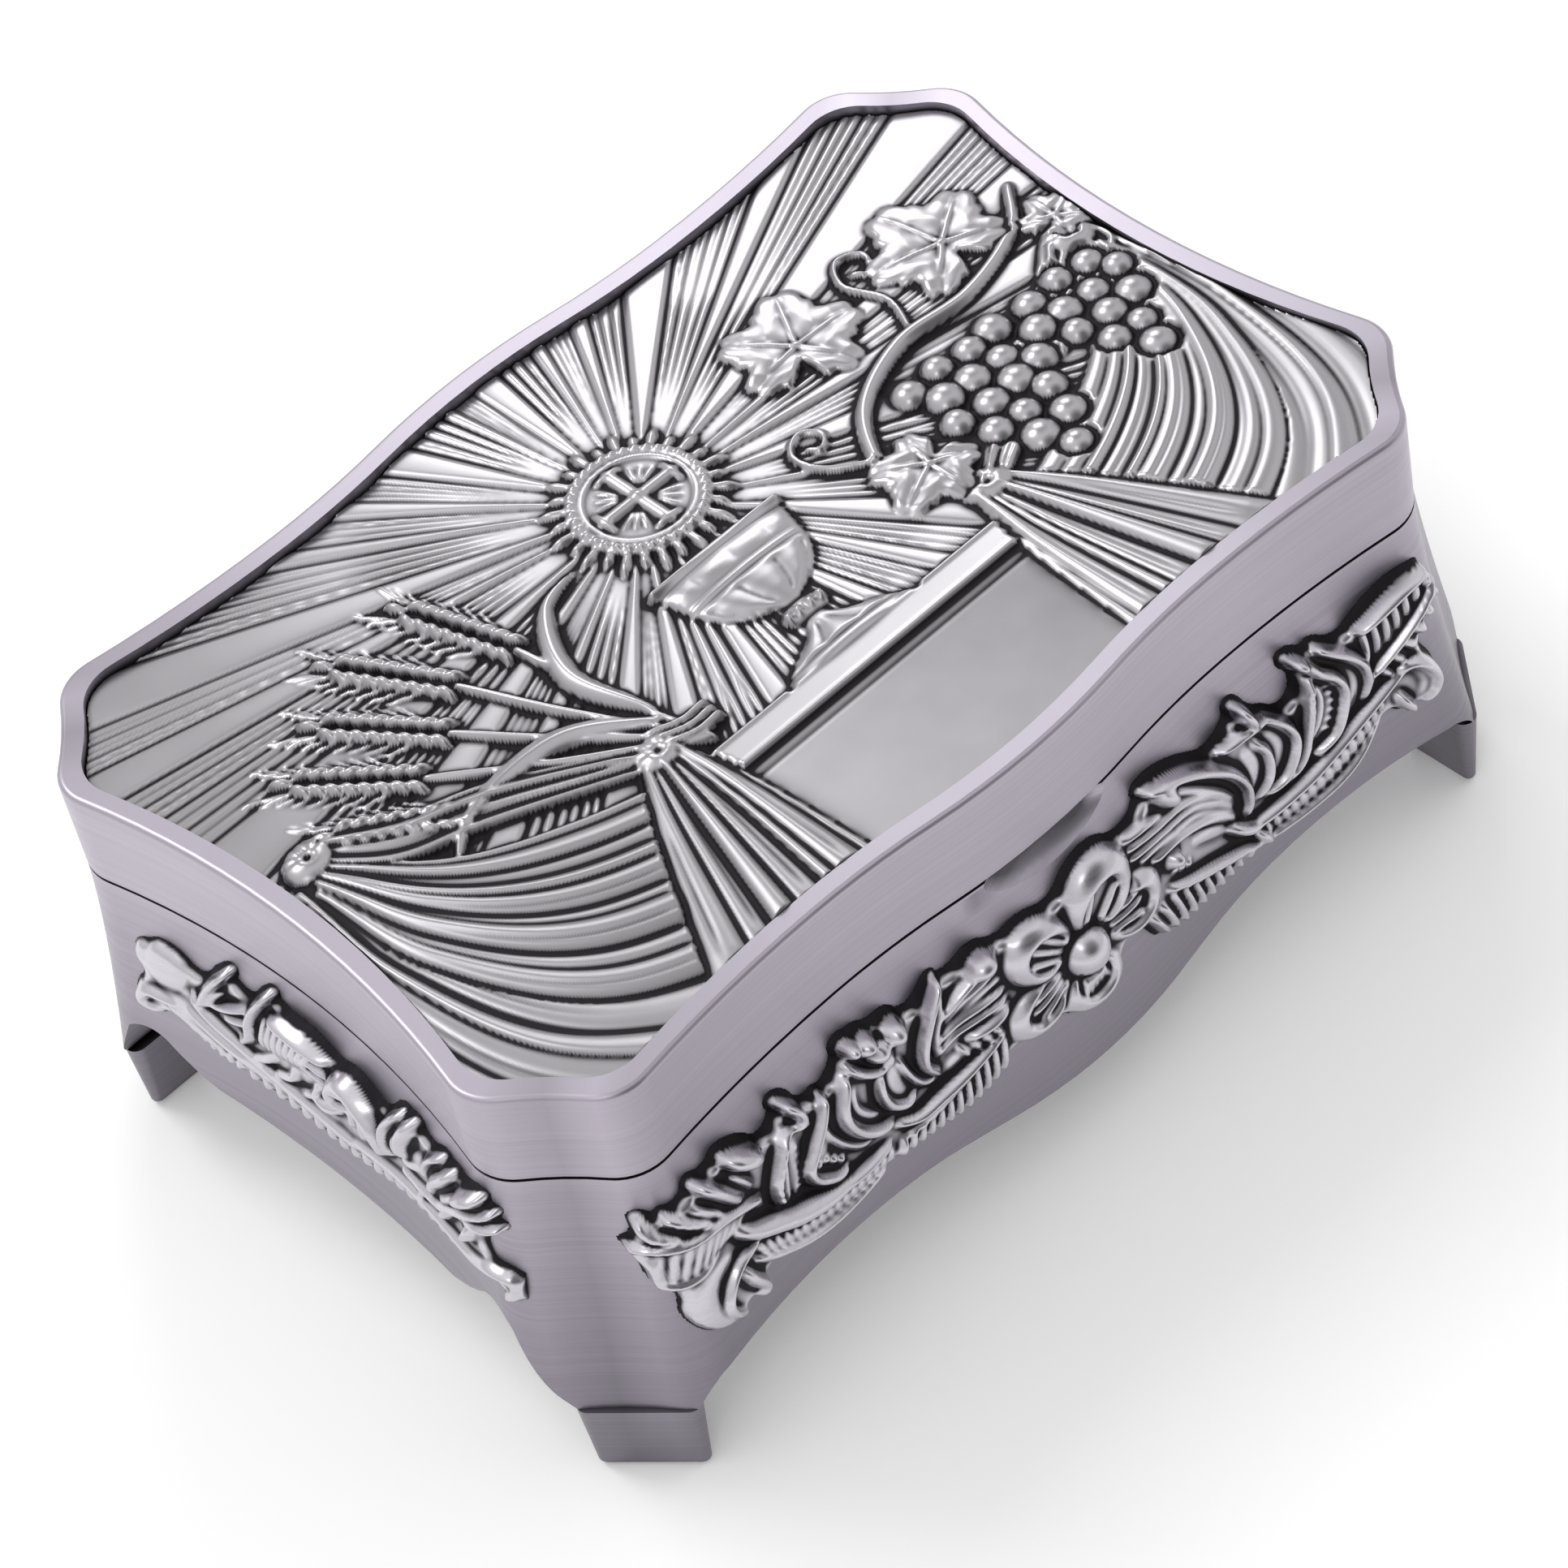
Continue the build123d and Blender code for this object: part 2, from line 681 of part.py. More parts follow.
# ---- relief plate ------------------------------------------------------------
def rays():
    """Glory: tapered rays that fan out from behind the host."""
    step = 360 / ray_count
    start = host_radius / 2
    slope = math.tan(math.radians(step * ray_share / 2))
    low, high = start * slope, far * slope
    ray = make_face(Polyline((start, -low), (far, -high), (far, high), (start, low), close=True))
    return [Pos(0, host_y) * Rot(0, 0, (k + 0.5) * step) * ray for k in range(ray_count)]


def chalice():
    """Outline of the cup: bowl, knop and spreading foot."""
    stem_top = cup_top_y - bowl_depth
    knop_top = stem_top - stem_length
    knop_low = knop_top - 2 * knop_half
    foot_top_y = knop_low - cup_foot_rise
    foot_low_y = foot_top_y - cup_foot_edge
    half = [
        Line((0, cup_top_y), (cup_half, cup_top_y)),
        TangentArc((cup_half, cup_top_y), (stem_half, stem_top), tangent=(0, -1)),
        Line((stem_half, stem_top), (stem_half, knop_top)),
        SagittaArc((stem_half, knop_top), (stem_half, knop_low), knop_half),
        SagittaArc((stem_half, knop_low), (cup_foot_half, foot_top_y), -cup_foot_hollow),
        Line((cup_foot_half, foot_top_y), (cup_foot_half, foot_low_y)),
        Line((cup_foot_half, foot_low_y), (0, foot_low_y)),
    ]
    return make_face(half + [edge.mirror(Plane.YZ) for edge in half])


def wheat():
    """Sheaf of ears that fans out on the left."""
    faces = [disc(*wheat_tie, wheat_tie_radius)]
    for k in range(wheat_ears):
        turn = math.radians(wheat_first_turn + k * wheat_turn_step)
        way = Vector(math.cos(turn), math.sin(turn))
        tie = Vector(*wheat_tie)
        ear_foot = tie + way * wheat_stalk
        ear_tip = ear_foot + way * wheat_ear
        faces.append(lens(tie, ear_foot + way, wheat_stalk_half, -wheat_stalk_half))
        faces.append(lens(ear_foot, ear_tip, wheat_half, -wheat_half))
    return faces


def vine_leaf(x, y, size, turn):
    """Five-lobed leaf."""
    points = []
    for k in range(10):
        reach = size if k % 2 == 0 else size * vine_notch_share
        angle = math.radians(turn + 36 * k)
        points.append((x + reach * math.cos(angle), y + reach * math.sin(angle)))
    return make_face(Polyline(*points, close=True))


def grape_bunch(x, y, rows):
    """Berries in closing rows, the widest on top; each is the upper half of a ball."""
    berry = Sphere(berry_radius, arc_size1=0, align=(Align.CENTER, Align.CENTER, Align.MIN))
    berries = []
    for row, count in enumerate(rows):
        for k in range(count):
            berry_x = x + (k - (count - 1) / 2) * berry_pitch
            berry_y = y - row * berry_row_pitch
            berries.append(Pos(berry_x, berry_y, panel_top_z + berry_height - berry_radius) * berry)
    return berries


def drape():
    """Folds of the cloth under the chalice, each lower one shorter and deeper."""
    faces = []
    for side in (-1, 1):
        for k in range(drape_folds):
            start = (-side * drape_breadth, cloth_y - drape_step * k)
            end = (side * (cloth_half - drape_shortening * k), cloth_y)
            sag = drape_sag + drape_sag_step * k
            faces.append(lens(start, end, -side * sag, -side * (sag - drape_breadth)))
    return faces


def relief_plate():
    """Plate with its relief: glory, host, chalice, wheat, vine and cloth."""
    field = plan(-rim_width - ray_margin)
    layers = {
        ray_height: rays(),
        drape_height: drape() + [vine_leaf(*leaf) for leaf in vine_leaves],
        wheat_height: wheat(),
        chalice_height: [disc(0, host_y, host_radius), chalice()],
    }
    shape = prism(-rim_width - piece_gap, panel_low_z, panel_top_z)
    for height, faces in layers.items():
        shape += Pos(0, 0, panel_top_z) * extrude(field & (Sketch() + faces), height)
    for bunch in grape_bunches:
        shape += grape_bunch(*bunch)
    return shape


save("lid_relief_plate", relief_plate())
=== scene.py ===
"""Rosary box: the finish, the cast reliefs, the velvet and the studio round the CAD frame.

The frame is in metres. The reliefs are sculpted as height fields in millimetres.
"""
import math

import bpy
import numpy as np
from mathutils import Matrix, Vector
from mathutils.bvhtree import BVHTree


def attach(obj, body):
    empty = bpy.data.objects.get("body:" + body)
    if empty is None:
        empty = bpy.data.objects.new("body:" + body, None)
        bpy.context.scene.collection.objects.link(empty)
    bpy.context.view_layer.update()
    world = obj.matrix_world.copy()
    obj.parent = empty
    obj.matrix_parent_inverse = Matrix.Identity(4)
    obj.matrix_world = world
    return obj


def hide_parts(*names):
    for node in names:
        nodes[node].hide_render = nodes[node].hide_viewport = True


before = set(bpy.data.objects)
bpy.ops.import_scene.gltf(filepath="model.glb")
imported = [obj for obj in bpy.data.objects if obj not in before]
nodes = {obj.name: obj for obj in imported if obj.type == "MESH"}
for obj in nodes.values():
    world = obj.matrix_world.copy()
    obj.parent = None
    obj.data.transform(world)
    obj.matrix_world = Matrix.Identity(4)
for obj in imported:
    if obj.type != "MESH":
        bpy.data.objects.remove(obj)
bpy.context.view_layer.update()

MM = 0.001
TINY = 1e-6
SAME = 1e-3  # levels and places closer than this, in mm, are the same


# ---- camera ------------------------------------------------------------------
# Where the photograph was taken from: place, then the picture's right, up and back.
CAMERA_PLACE = (-0.17168, -0.25304, 0.35133)
CAMERA_RIGHT = (0.71099678, -0.68621256, -0.15360957)
CAMERA_UP = (0.59296838, 0.46764801, 0.65551036)
CAMERA_BACK = (-0.37798423, -0.55715138, 0.73939858)
CAMERA_LENS = 125.7


def make_camera():
    """Camera at the photograph's place and lens."""
    data = bpy.data.cameras.new("camera")
    data.lens = CAMERA_LENS
    data.sensor_width = 36.0
    data.sensor_fit = "HORIZONTAL"
    camera = placed("camera", data)
    axes = Matrix((CAMERA_RIGHT, CAMERA_UP, CAMERA_BACK)).transposed()
    camera.matrix_world = Matrix.Translation(CAMERA_PLACE) @ axes.to_4x4()
    bpy.context.scene.camera = camera


def placed(name, data):
    """New object in the scene."""
    thing = bpy.data.objects.new(name, data)
    bpy.context.scene.collection.objects.link(thing)
    return thing


# ---- height fields -----------------------------------------------------------
def spline(points, spacing=0.4):
    """Smooth line through the points, sampled about every spacing millimetres."""
    p = np.array(points, float)
    if len(p) == 2:
        p = np.array([p[0], p.mean(0), p[1]])
    ends = np.vstack([2 * p[0] - p[1], p, 2 * p[-1] - p[-2]])
    out = []
    for a, b, c, d in zip(ends[:-3], ends[1:-2], ends[2:-1], ends[3:]):
        count = max(2, int(np.hypot(*(c - b)) / spacing))
        t = np.linspace(0, 1, count, endpoint=False)[:, None]
        out.append(0.5 * (2 * b + (c - a) * t + (2 * a - 5 * b + 4 * c - d) * t**2
                          + (3 * b - a - 3 * c + d) * t**3))
    out.append(p[-1:])
    return np.vstack(out)


def resampled(points, count):
    """Points spaced evenly along the smooth line through the given ones."""
    line = spline(points, 0.3)
    run = np.concatenate([[0], np.cumsum(np.hypot(*np.diff(line, axis=0).T))])
    at = np.linspace(0, run[-1], count)
    return np.stack([np.interp(at, run, line[:, 0]), np.interp(at, run, line[:, 1])], 1)


def heading(angle):
    """Unit direction at an angle from the drawing's first axis."""
    return np.array((math.cos(angle), math.sin(angle)))


def across_of(way):
    """Direction at a right angle to another, to its left."""
    return np.array((-way[1], way[0]))


def circle(middle, radius, count):
    """Points round a circle, the first one repeated at the end."""
    return [middle + heading(a) * radius for a in np.linspace(0, 2 * math.pi, count)]


def blur(field, cells):
    """Gaussian blur, its spread given in cells."""
    reach = max(1, int(3 * cells))
    kernel = np.exp(-0.5 * (np.arange(-reach, reach + 1) / cells) ** 2)
    kernel /= kernel.sum()
    out = np.pad(field, reach, mode="edge")
    out = np.apply_along_axis(np.convolve, 0, out, kernel, mode="valid")
    return np.apply_along_axis(np.convolve, 1, out, kernel, mode="valid")


def smooth_step(x, low, high):
    """0 below low, 1 above high, smooth between."""
    t = np.clip((x - low) / (high - low), 0, 1)
    return t * t * (3 - 2 * t)


def taper(t, start=0.0, end=0.0, power=0.5):
    """1 along the middle, falling to start and end at the two tips."""
    body = np.sin(np.pi * np.clip(t, 0, 1)) ** power
    edge = np.where(t < 0.5, start, end)
    return edge + (1 - edge) * body


class Relief:
    """Height field over a flat grid; every size is in millimetres."""

    def __init__(self, low_u, high_u, low_v, high_v, step):
        self.step = step
        self.u = np.arange(low_u, high_u + step / 2, step)
        self.v = np.arange(low_v, high_v + step / 2, step)
        self.U, self.V = np.meshgrid(self.u, self.v)
        self.h = np.zeros(self.U.shape)
        self.tarnish_and_shade = np.zeros(self.U.shape)
        self.cover = np.full(self.U.shape, 0.65)  # height that the tarnish and the painted shade reach

    def window(self, low, high):
        """Slices of the grid between two corners."""
        i0 = int(np.clip(np.searchsorted(self.u, low[0]), 0, len(self.u)))
        i1 = int(np.clip(np.searchsorted(self.u, high[0]), i0, len(self.u)))
        j0 = int(np.clip(np.searchsorted(self.v, low[1]), 0, len(self.v)))
        j1 = int(np.clip(np.searchsorted(self.v, high[1]), j0, len(self.v)))
        return slice(j0, j1), slice(i0, i1)

    def along(self, points, reach):
        """Window round a line, with the share of the way along it and the signed distance."""
        line = spline(points)
        whole = self.window(line.min(0) - reach, line.max(0) + reach)
        shape = self.U[whole].shape
        best = np.full(shape, np.inf)
        share = np.zeros(shape)
        side = np.ones(shape)
        legs = np.hypot(*np.diff(line, axis=0).T)
        passed = np.concatenate([[0], np.cumsum(legs)])
        for k in range(len(legs)):
            if legs[k] < TINY:
                continue
            a, b = line[k], line[k + 1]
            part = self.window(np.minimum(a, b) - reach, np.maximum(a, b) + reach)
            rows = slice(part[0].start - whole[0].start, part[0].stop - whole[0].start)
            cols = slice(part[1].start - whole[1].start, part[1].stop - whole[1].start)
            du, dv = self.U[part] - a[0], self.V[part] - a[1]
            tu, tv = (b - a) / legs[k]
            run = np.clip(du * tu + dv * tv, 0, legs[k])
            away = np.hypot(du - run * tu, dv - run * tv)
            near = away < best[rows, cols]
            best[rows, cols] = np.where(near, away, best[rows, cols])
            share[rows, cols] = np.where(near, (passed[k] + run) / passed[-1], share[rows, cols])
            side[rows, cols] = np.where(near, np.sign(tu * dv - tv * du), side[rows, cols])
        return whole, share, best, side

    def lay(self, where, height, mode="max"):
        """Combine a patch with the field: the higher one, added on top, or cut away."""
        if mode == "max":
            self.h[where] = np.maximum(self.h[where], height)
        elif mode == "add":
            self.h[where] += height
        else:
            self.h[where] = np.maximum(self.h[where] - height, 0)

    def ridge(self, points, width, height, start=0.0, end=0.0, mode="max", power=0.5, flat=0.5):
        """Rounded ridge along a line, width and height falling off towards its tips."""
        where, t, away, _ = self.along(points, width)
        fall = taper(t, start, end, power)
        across = np.clip(1 - (away / np.maximum(width * fall, TINY)) ** 2, 0, 1) ** flat
        self.lay(where, height * (0.35 + 0.65 * fall) * across, mode)

    def blade(self, points, left, right, height, rib=0.18, belly=0.4, start=0.3, edge=0.35):
        """Leaf along a raised midrib: left and right half-widths, widest at belly."""
        where, t, away, side = self.along(points, max(left, right))
        skew = np.clip(t, 0, 1) ** (math.log(0.5) / math.log(belly))
        profile = taper(skew, start, power=0.75)
        width = np.where(side > 0, left, right) * profile
        across = away / np.maximum(width, TINY)
        body = np.clip(1 - across**2, 0, 1) ** edge * (0.55 + 0.45 * profile)
        body += rib / height * np.clip(1 - (away / 0.45) ** 2, 0, 1) * (1 - t * 0.6)
        self.lay(where, np.where(across < 1, body * height, 0))

    def dome(self, u, v, radius, height, other=None, turn=0.0, power=0.5, mode="max"):
        """Round or oval boss."""
        other = other or radius
        reach = max(radius, other)
        where = self.window((u - reach, v - reach), (u + reach, v + reach))
        du, dv = self.U[where] - u, self.V[where] - v
        c, s = math.cos(math.radians(turn)), math.sin(math.radians(turn))
        across = np.hypot((du * c + dv * s) / radius, (dv * c - du * s) / other)
        self.lay(where, height * np.clip(1 - across**2, 0, 1) ** power, mode)

    def beads(self, points, radius, height, pitch):
        """Row of small pearls."""
        line = spline(points, 0.1)
        run = np.concatenate([[0], np.cumsum(np.hypot(*np.diff(line, axis=0).T))])
        for d in np.arange(0, run[-1], pitch):
            u, v = np.interp(d, run, line[:, 0]), np.interp(d, run, line[:, 1])
            self.dome(u, v, radius, height)

    def cavity(self, fine=7.5, broad=2.0, flank_shade=0.6):
        """How deep each place lies in a hollow, from 0 to 1, for the patina; steep flanks get
        painted shade, and the laid-on tarnish and painted shade count below their cover height.
        """
        narrow = blur(self.h, 0.28 / self.step) - self.h
        wide = blur(self.h, 0.9 / self.step) - self.h
        steep = np.hypot(*np.gradient(self.h, self.step))
        # fine and broad measure the patina's hollows; the flank_shade term paints shade on steep
        # slopes
        hollow = fine * narrow + broad * wide + flank_shade * smooth_step(steep, 1.6, 4.5)
        return np.clip(np.maximum(hollow, 0) + self.tarnish_and_shade * (self.h < self.cover + 0.15), 0, 1)


# ---- meshes from height fields -----------------------------------------------
def outline_of(node):
    """Closed outline of a flat-bottomed CAD node, in millimetres."""
    mesh = nodes[node].data
    co = np.array([v.co for v in mesh.vertices]) / MM
    level = co[:, 2].min()
    flat = [p for p in mesh.polygons if all(abs(co[i][2] - level) < SAME for i in p.vertices)]
    key = {i: tuple(np.round(co[i][:2], 3)) for p in flat for i in p.vertices}
    count = {}
    for p in flat:
        ring = [key[i] for i in p.vertices]
        for a, b in zip(ring, ring[1:] + ring[:1]):
            count[frozenset((a, b))] = count.get(frozenset((a, b)), 0) + 1
    links = {}
    for pair, times in count.items():
        if times == 1 and len(pair) == 2:
            a, b = pair
            links.setdefault(a, []).append(b)
            links.setdefault(b, []).append(a)
    start = max(links)
    loop, before, here = [start], None, start
    while True:
        ahead = [q for q in links[here] if q != before]
        before, here = here, ahead[0]
        if here == start:
            break
        loop.append(here)
    return np.array(loop)


def inside_outline(u, v, loop):
    """Which points lie inside a closed outline."""
    hit = np.zeros(u.shape, bool)
    for (x0, y0), (x1, y1) in zip(loop, np.roll(loop, -1, axis=0)):
        if y0 == y1:
            continue
        crosses = (v < y0) != (v < y1)
        hit ^= crosses & (u < (x1 - x0) * (v - y0) / (y1 - y0) + x0)
    return hit


def nearest_on_outline(points, loop):
    """Nearest places on a closed outline, one for each point."""
    a, b = loop, np.roll(loop, -1, axis=0)
    way = b - a
    size = np.maximum((way**2).sum(1), TINY**2)
    out = np.empty_like(points)
    for k, p in enumerate(points):
        t = np.clip(((p - a) * way).sum(1) / size, 0, 1)
        q = a + way * t[:, None]
        out[k] = q[np.argmin(((q - p) ** 2).sum(1))]
    return out


def spread_mask(mask):
    """The mask with every neighbour added."""
    grown = np.pad(mask, 1)
    total = np.zeros(mask.shape, bool)
    for dj in range(3):
        for di in range(3):
            total |= grown[dj:dj + mask.shape[0], di:di + mask.shape[1]]
    return total


def sheet_mesh(name, top, bottom, used, cells, patina_and_shade, flat=False):
    """Closed mesh between two grids of points, where cells says which squares are there.

    A flat underside is one face.
    """
    number = np.full(used.shape, -1)
    number[used] = np.arange(used.sum())
    half = int(used.sum())
    j, i = np.nonzero(cells)
    quads = np.stack([number[j, i], number[j, i + 1], number[j + 1, i + 1], number[j + 1, i]], 1)
    edges = {}
    for a, b in ((0, 1), (1, 2), (2, 3), (3, 0)):
        for p, q in zip(quads[:, a].tolist(), quads[:, b].tolist()):
            if (q, p) in edges:
                del edges[(q, p)]
            else:
                edges[(p, q)] = True
    walls = np.array(list(edges))
    low = bottom[used]
    below = np.arange(half) + half
    if flat:
        ahead = dict(list(edges))
        ring = [int(walls[0, 0])]
        while ahead[ring[-1]] != ring[0]:
            ring.append(ahead[ring[-1]])
        below = np.full(half, -1)
        below[ring] = half + np.arange(len(ring))
        low = low[ring]
        under = [(below[ring][::-1]).tolist()]
    else:
        under = (quads[:, ::-1] + half).tolist()
    sides = np.stack([walls[:, 1], walls[:, 0], below[walls[:, 0]], below[walls[:, 1]]], 1)
    mesh = bpy.data.meshes.new(name)
    places = (np.vstack([top[used], low]) * MM).tolist()
    mesh.from_pydata(places, [], quads.tolist() + sides.tolist() + under)
    mesh.update(calc_edges=True)
    mesh.validate()
    mesh.shade_smooth()
    # the patina in hollows together with painted shade, for the material
    layer = mesh.attributes.new("patina_and_shade", "FLOAT", "POINT")
    values = np.concatenate([patina_and_shade[used], np.ones(len(low))])
    layer.data.foreach_set("value", values.astype(np.float32))
    return placed(name, mesh)


def cells_of(used, solid):
    """Squares whose four corners are used and at least one is solid."""
    full = used[:-1, :-1] & used[1:, :-1] & used[:-1, 1:] & used[1:, 1:]
    some = solid[:-1, :-1] | solid[1:, :-1] | solid[:-1, 1:] | solid[1:, 1:]
    return full & some


def plate_piece(name, relief, loop, level):
    """Relief plate cut to an outline, flat underneath."""
    solid = inside_outline(relief.U, relief.V, loop)
    used = spread_mask(solid)
    u, v = relief.U.copy(), relief.V.copy()
    rim = used & ~solid
    moved = nearest_on_outline(np.stack([u[rim], v[rim]], 1), loop)
    u[rim], v[rim] = moved[:, 0], moved[:, 1]
    top = np.stack([u, v, level + relief.h], -1)
    bottom = np.stack([u, v, np.full(u.shape, level)], -1)
    return sheet_mesh(name, top, bottom, used, cells_of(used, solid), relief.cavity(), True)


def wall_piece(name, relief, right, out, patina_and_shade, embed=0.15, least=0.12):
    """Relief laid on the body's wall: right is the drawing's u direction, out leaves the wall."""
    body = nodes["body_casting"]
    tree = BVHTree.FromPolygons([v.co / MM for v in body.data.vertices],
                                [p.vertices[:] for p in body.data.polygons])
    right, out = Vector(right), Vector(out)
    coarse_u = np.arange(relief.u[0], relief.u[-1] + 1.0, 0.5)
    coarse_v = np.arange(relief.v[0], relief.v[-1] + 1.0, 0.5)
    depth = np.zeros((len(coarse_v), len(coarse_u)))
    for j, v in enumerate(coarse_v):
        for i, u in enumerate(coarse_u):
            start = right * u + out * 90 + Vector((0, 0, v))
            hit = tree.ray_cast(start, -out)
            depth[j, i] = hit[0].dot(out) if hit[0] is not None else np.nan
    depth = blur(fill_gaps(depth), 1.0)
    rows = np.array([np.interp(relief.u, coarse_u, row) for row in depth])
    wall = np.array([np.interp(relief.v, coarse_v, col) for col in rows.T]).T
    slope_v, slope_u = np.gradient(wall, relief.step)
    normal = np.stack([-slope_u, np.ones_like(wall), -slope_v], -1)
    normal /= np.linalg.norm(normal, axis=-1, keepdims=True)
    solid = relief.h > least
    used = spread_mask(solid)
    raised = np.where(solid, relief.h, 0)
    flat = np.stack([relief.U, wall, relief.V], -1)
    axes = np.array([right[:], out[:], (0, 0, 1)])
    top = (flat + normal * raised[..., None]) @ axes
    bottom = (flat - normal * embed) @ axes
    return sheet_mesh(name, top, bottom, used, cells_of(used, solid), patina_and_shade)


def fill_gaps(field):
    """Replace missing values by the nearest known value in their row, then column."""
    for rows in (field, field.T):
        for row in rows:
            known = ~np.isnan(row)
            if known.any():
                row[:] = np.interp(np.arange(len(row)), np.nonzero(known)[0], row[known])
    return field


# ---- front ornament ----------------------------------------------------------
GARLAND_STEP = 0.13

# A row is a half-width and a height, then the points of its line, in mm. A row of teeth is their
# count, half-width and height, then the two lines that they join.
LEFT_FLOORS = """
3.1 0.9  -35.2,23.6 -39,24.9 -43,25.6
1.1 0.9  -36,18.2 -33,17 -30,16.3 -26,15.9 -21.8,15.9
1.7 0.9  -31.6,20.8 -31.2,23.2 -29.8,25.6
1.6 0.9  -28.4,20.6 -27.8,22.6 -26.4,25
1.5 0.9  -25.8,24.6 -24.4,22 -21.8,19.6
1.3 1.1  -19.2,24.2 -19.6,22 -18.8,20.2
2.9 1  -14.8,21.4 -12.6,24 -9.2,25.4
1.2 1.2  -14.6,19.5 -12,20.6 -8.8,19.8
1.5 1.5  -38.6,20.8 -41,20.4 -42,18.6 -41.2,16.4 -39.5,15.1
"""
LEFT_STROKES = """
# feather
0.46 2.1  -43.9,29.4 -43.5,28 -41.9,26.3
0.46 2.2  -42.4,29 -41,27.2 -39.3,25.5
0.38 2  -40.7,28.3 -39.4,26.7 -37.9,25.1
0.66 2.7  -39.6,29.7 -38.2,27.8 -36.6,25.3
0.4 2.1  -37.8,28.2 -36.9,26.6 -35.9,24.9
0.4 2.1  -36.6,27.9 -35.6,26.4 -34.7,24.9
0.9 2.9  -36.3,29.4 -34.9,28.3 -33.4,27.4
0.48 2.5  -34.6,23.3 -36.6,24.4 -39,25.4 -42,26 -44.6,27
0.32 1.8  -44.8,26.9 -44.1,24.6 -43.9,22.4 -42,21.6 -39.4,22.2
# scroll
0.45 2.4  -36.2,20 -38.4,19.9 -40,18.9 -40.7,17.3 -40.2,15.8 -39.1,14.8
0.6 2.5  -38.4,18.8 -37.7,17.3 -36.9,15.9 -37.4,14.9
0.95 2.8  -37.4,22.4 -36.2,21.3 -34,20.1 -32,19 -29,17.9 -26,17.3
0.52 2.4  -30,18.2 -26,17.3 -21.5,17.1
0.42 2.1  -36.6,18.2 -34.8,17 -31.6,15.6 -28,15 -22.6,15
# beaded leaf
0.52 2.6  -33.1,21.4 -33,23.2 -32,25.1 -30.9,26.5 -29.6,26.9
0.34 2.1  -32.1,20.6 -31.9,22.8 -31.1,25.2
0.3 1.6  -31.2,20.2 -30.6,22.4 -30.4,24.6
0.58 2.8  -29.9,29.3 -29,28 -29,26.9 -29.9,26.5
0.36 2.2  -29.2,26.8 -28,25.6
# two cupped leaves
0.56 2.6  -26.1,26.4 -27.2,24.8 -28.6,23.2 -29.7,21.8 -29.2,20.3 -27.5,18.9 -26,18.5
0.36 2  -27.2,24.6 -26.6,22.6 -25.6,20.8 -24.2,19.3 -23,18.8
0.64 2.7  -23.8,26.4 -24.9,24.4 -24.9,22.6 -23.9,20.8 -22.4,19.6 -20.8,19.1
0.3 1.7  -23.2,24.6 -23.4,22.8 -22.4,21.2 -21.4,20.4
# cup under the bloom
0.5 2.4  -23.2,27.2 -22.2,25.8 -20.8,24.9 -19.2,24.7
0.52 2.5  -20.7,24.4 -21.1,22.6 -20.6,20.9 -19.2,19.8 -18,19.9
0.36 2.1  -18.6,24 -18,21.8 -17,20.2 -15.8,19.6
# palmette
0.52 2.7  -15.6,20.2 -16.6,22 -16.3,24 -15.2,26 -13.9,27.6 -13.2,28.4
0.32 2.2  -15.1,21.6 -15,23.4 -14.2,25.4 -13.2,27.4
0.55 2.4  -14,25 -12,26.2 -10.2,26.9 -8.4,27.5
1 2.9  -10.4,27.2 -8.2,27.5
0.42 1.9  -14.2,24.2 -11.8,25.2 -8.2,25.6
0.36 1.8  -14,23.9 -11,24.6 -8,24.6
0.46 2.3  -15,23 -13,23.8 -10.6,23.8 -8,23.5
0.42 2.3  -15.2,21.8 -13.4,22.8 -11,22.8 -8,22.5
0.62 2.6  -12.2,21.4 -8.1,21.8
# stems over the comb
0.52 2.5  -20.3,18.2 -18.4,17.6 -16.4,17.9 -13,18.5 -9,19.4
0.36 2.2  -19.8,16.5 -17.2,16.9 -14.5,17.6 -11.6,18.2
"""
LEFT_COMBS = """
9 0.3 1.7  -43.6,25.5 -40,24.7 -36.2,23.6
/ -44,22.5 -41.8,21.9 -38.6,22.6
17 0.27 1.8  -36,19.2 -33,18.2 -30,17.3 -26,16.7 -21.6,16.7
/ -35.4,17.6 -33.6,16.6 -31,15.8 -27,15.3 -21.9,15.3
4 0.36 2.2  -13.2,21.2 -11.6,21 -9.8,20.8
/ -12.4,19.5 -10.8,19.4 -9.2,19.6
12 0.38 2.1  -20.2,16.5 -17,17 -13.5,17.9 -9.2,18.9
/ -20.9,14.9 -17.6,14.6 -14.4,14.3 -12,14.7 -9.9,15.6
6 0.28 1.6  -31,21 -30.4,23 -30.2,24.6
/ -30.2,20.8 -29.7,22.6 -29.4,24.2
"""
RIGHT_FLOORS = """
2.9 1.3  7.6,25.2 12,25.2 16,22.8 18.4,20.2
1.2 1  20.8,24.8 21.4,22.6 20.6,20.2
1.6 0.9  23.4,24.8 24.2,22.4 23,20
1.8 0.9  29.6,25.6 29.8,22.8 28,20
1.4 0.9  32,26 32.8,23.4 32,20.4
3 0.9  35.4,24 38.4,25.2 41,26.6
1.2 0.9  21.4,15.6 25.4,15.6 29.4,16.2 32.4,17.2 35,18.6
1.1 1.5  37.6,20.9 39.4,20.2 40.1,18.4 39.2,16.6
1.2 1.9  13.4,20.8 15.4,20.2 17.2,18.9
"""
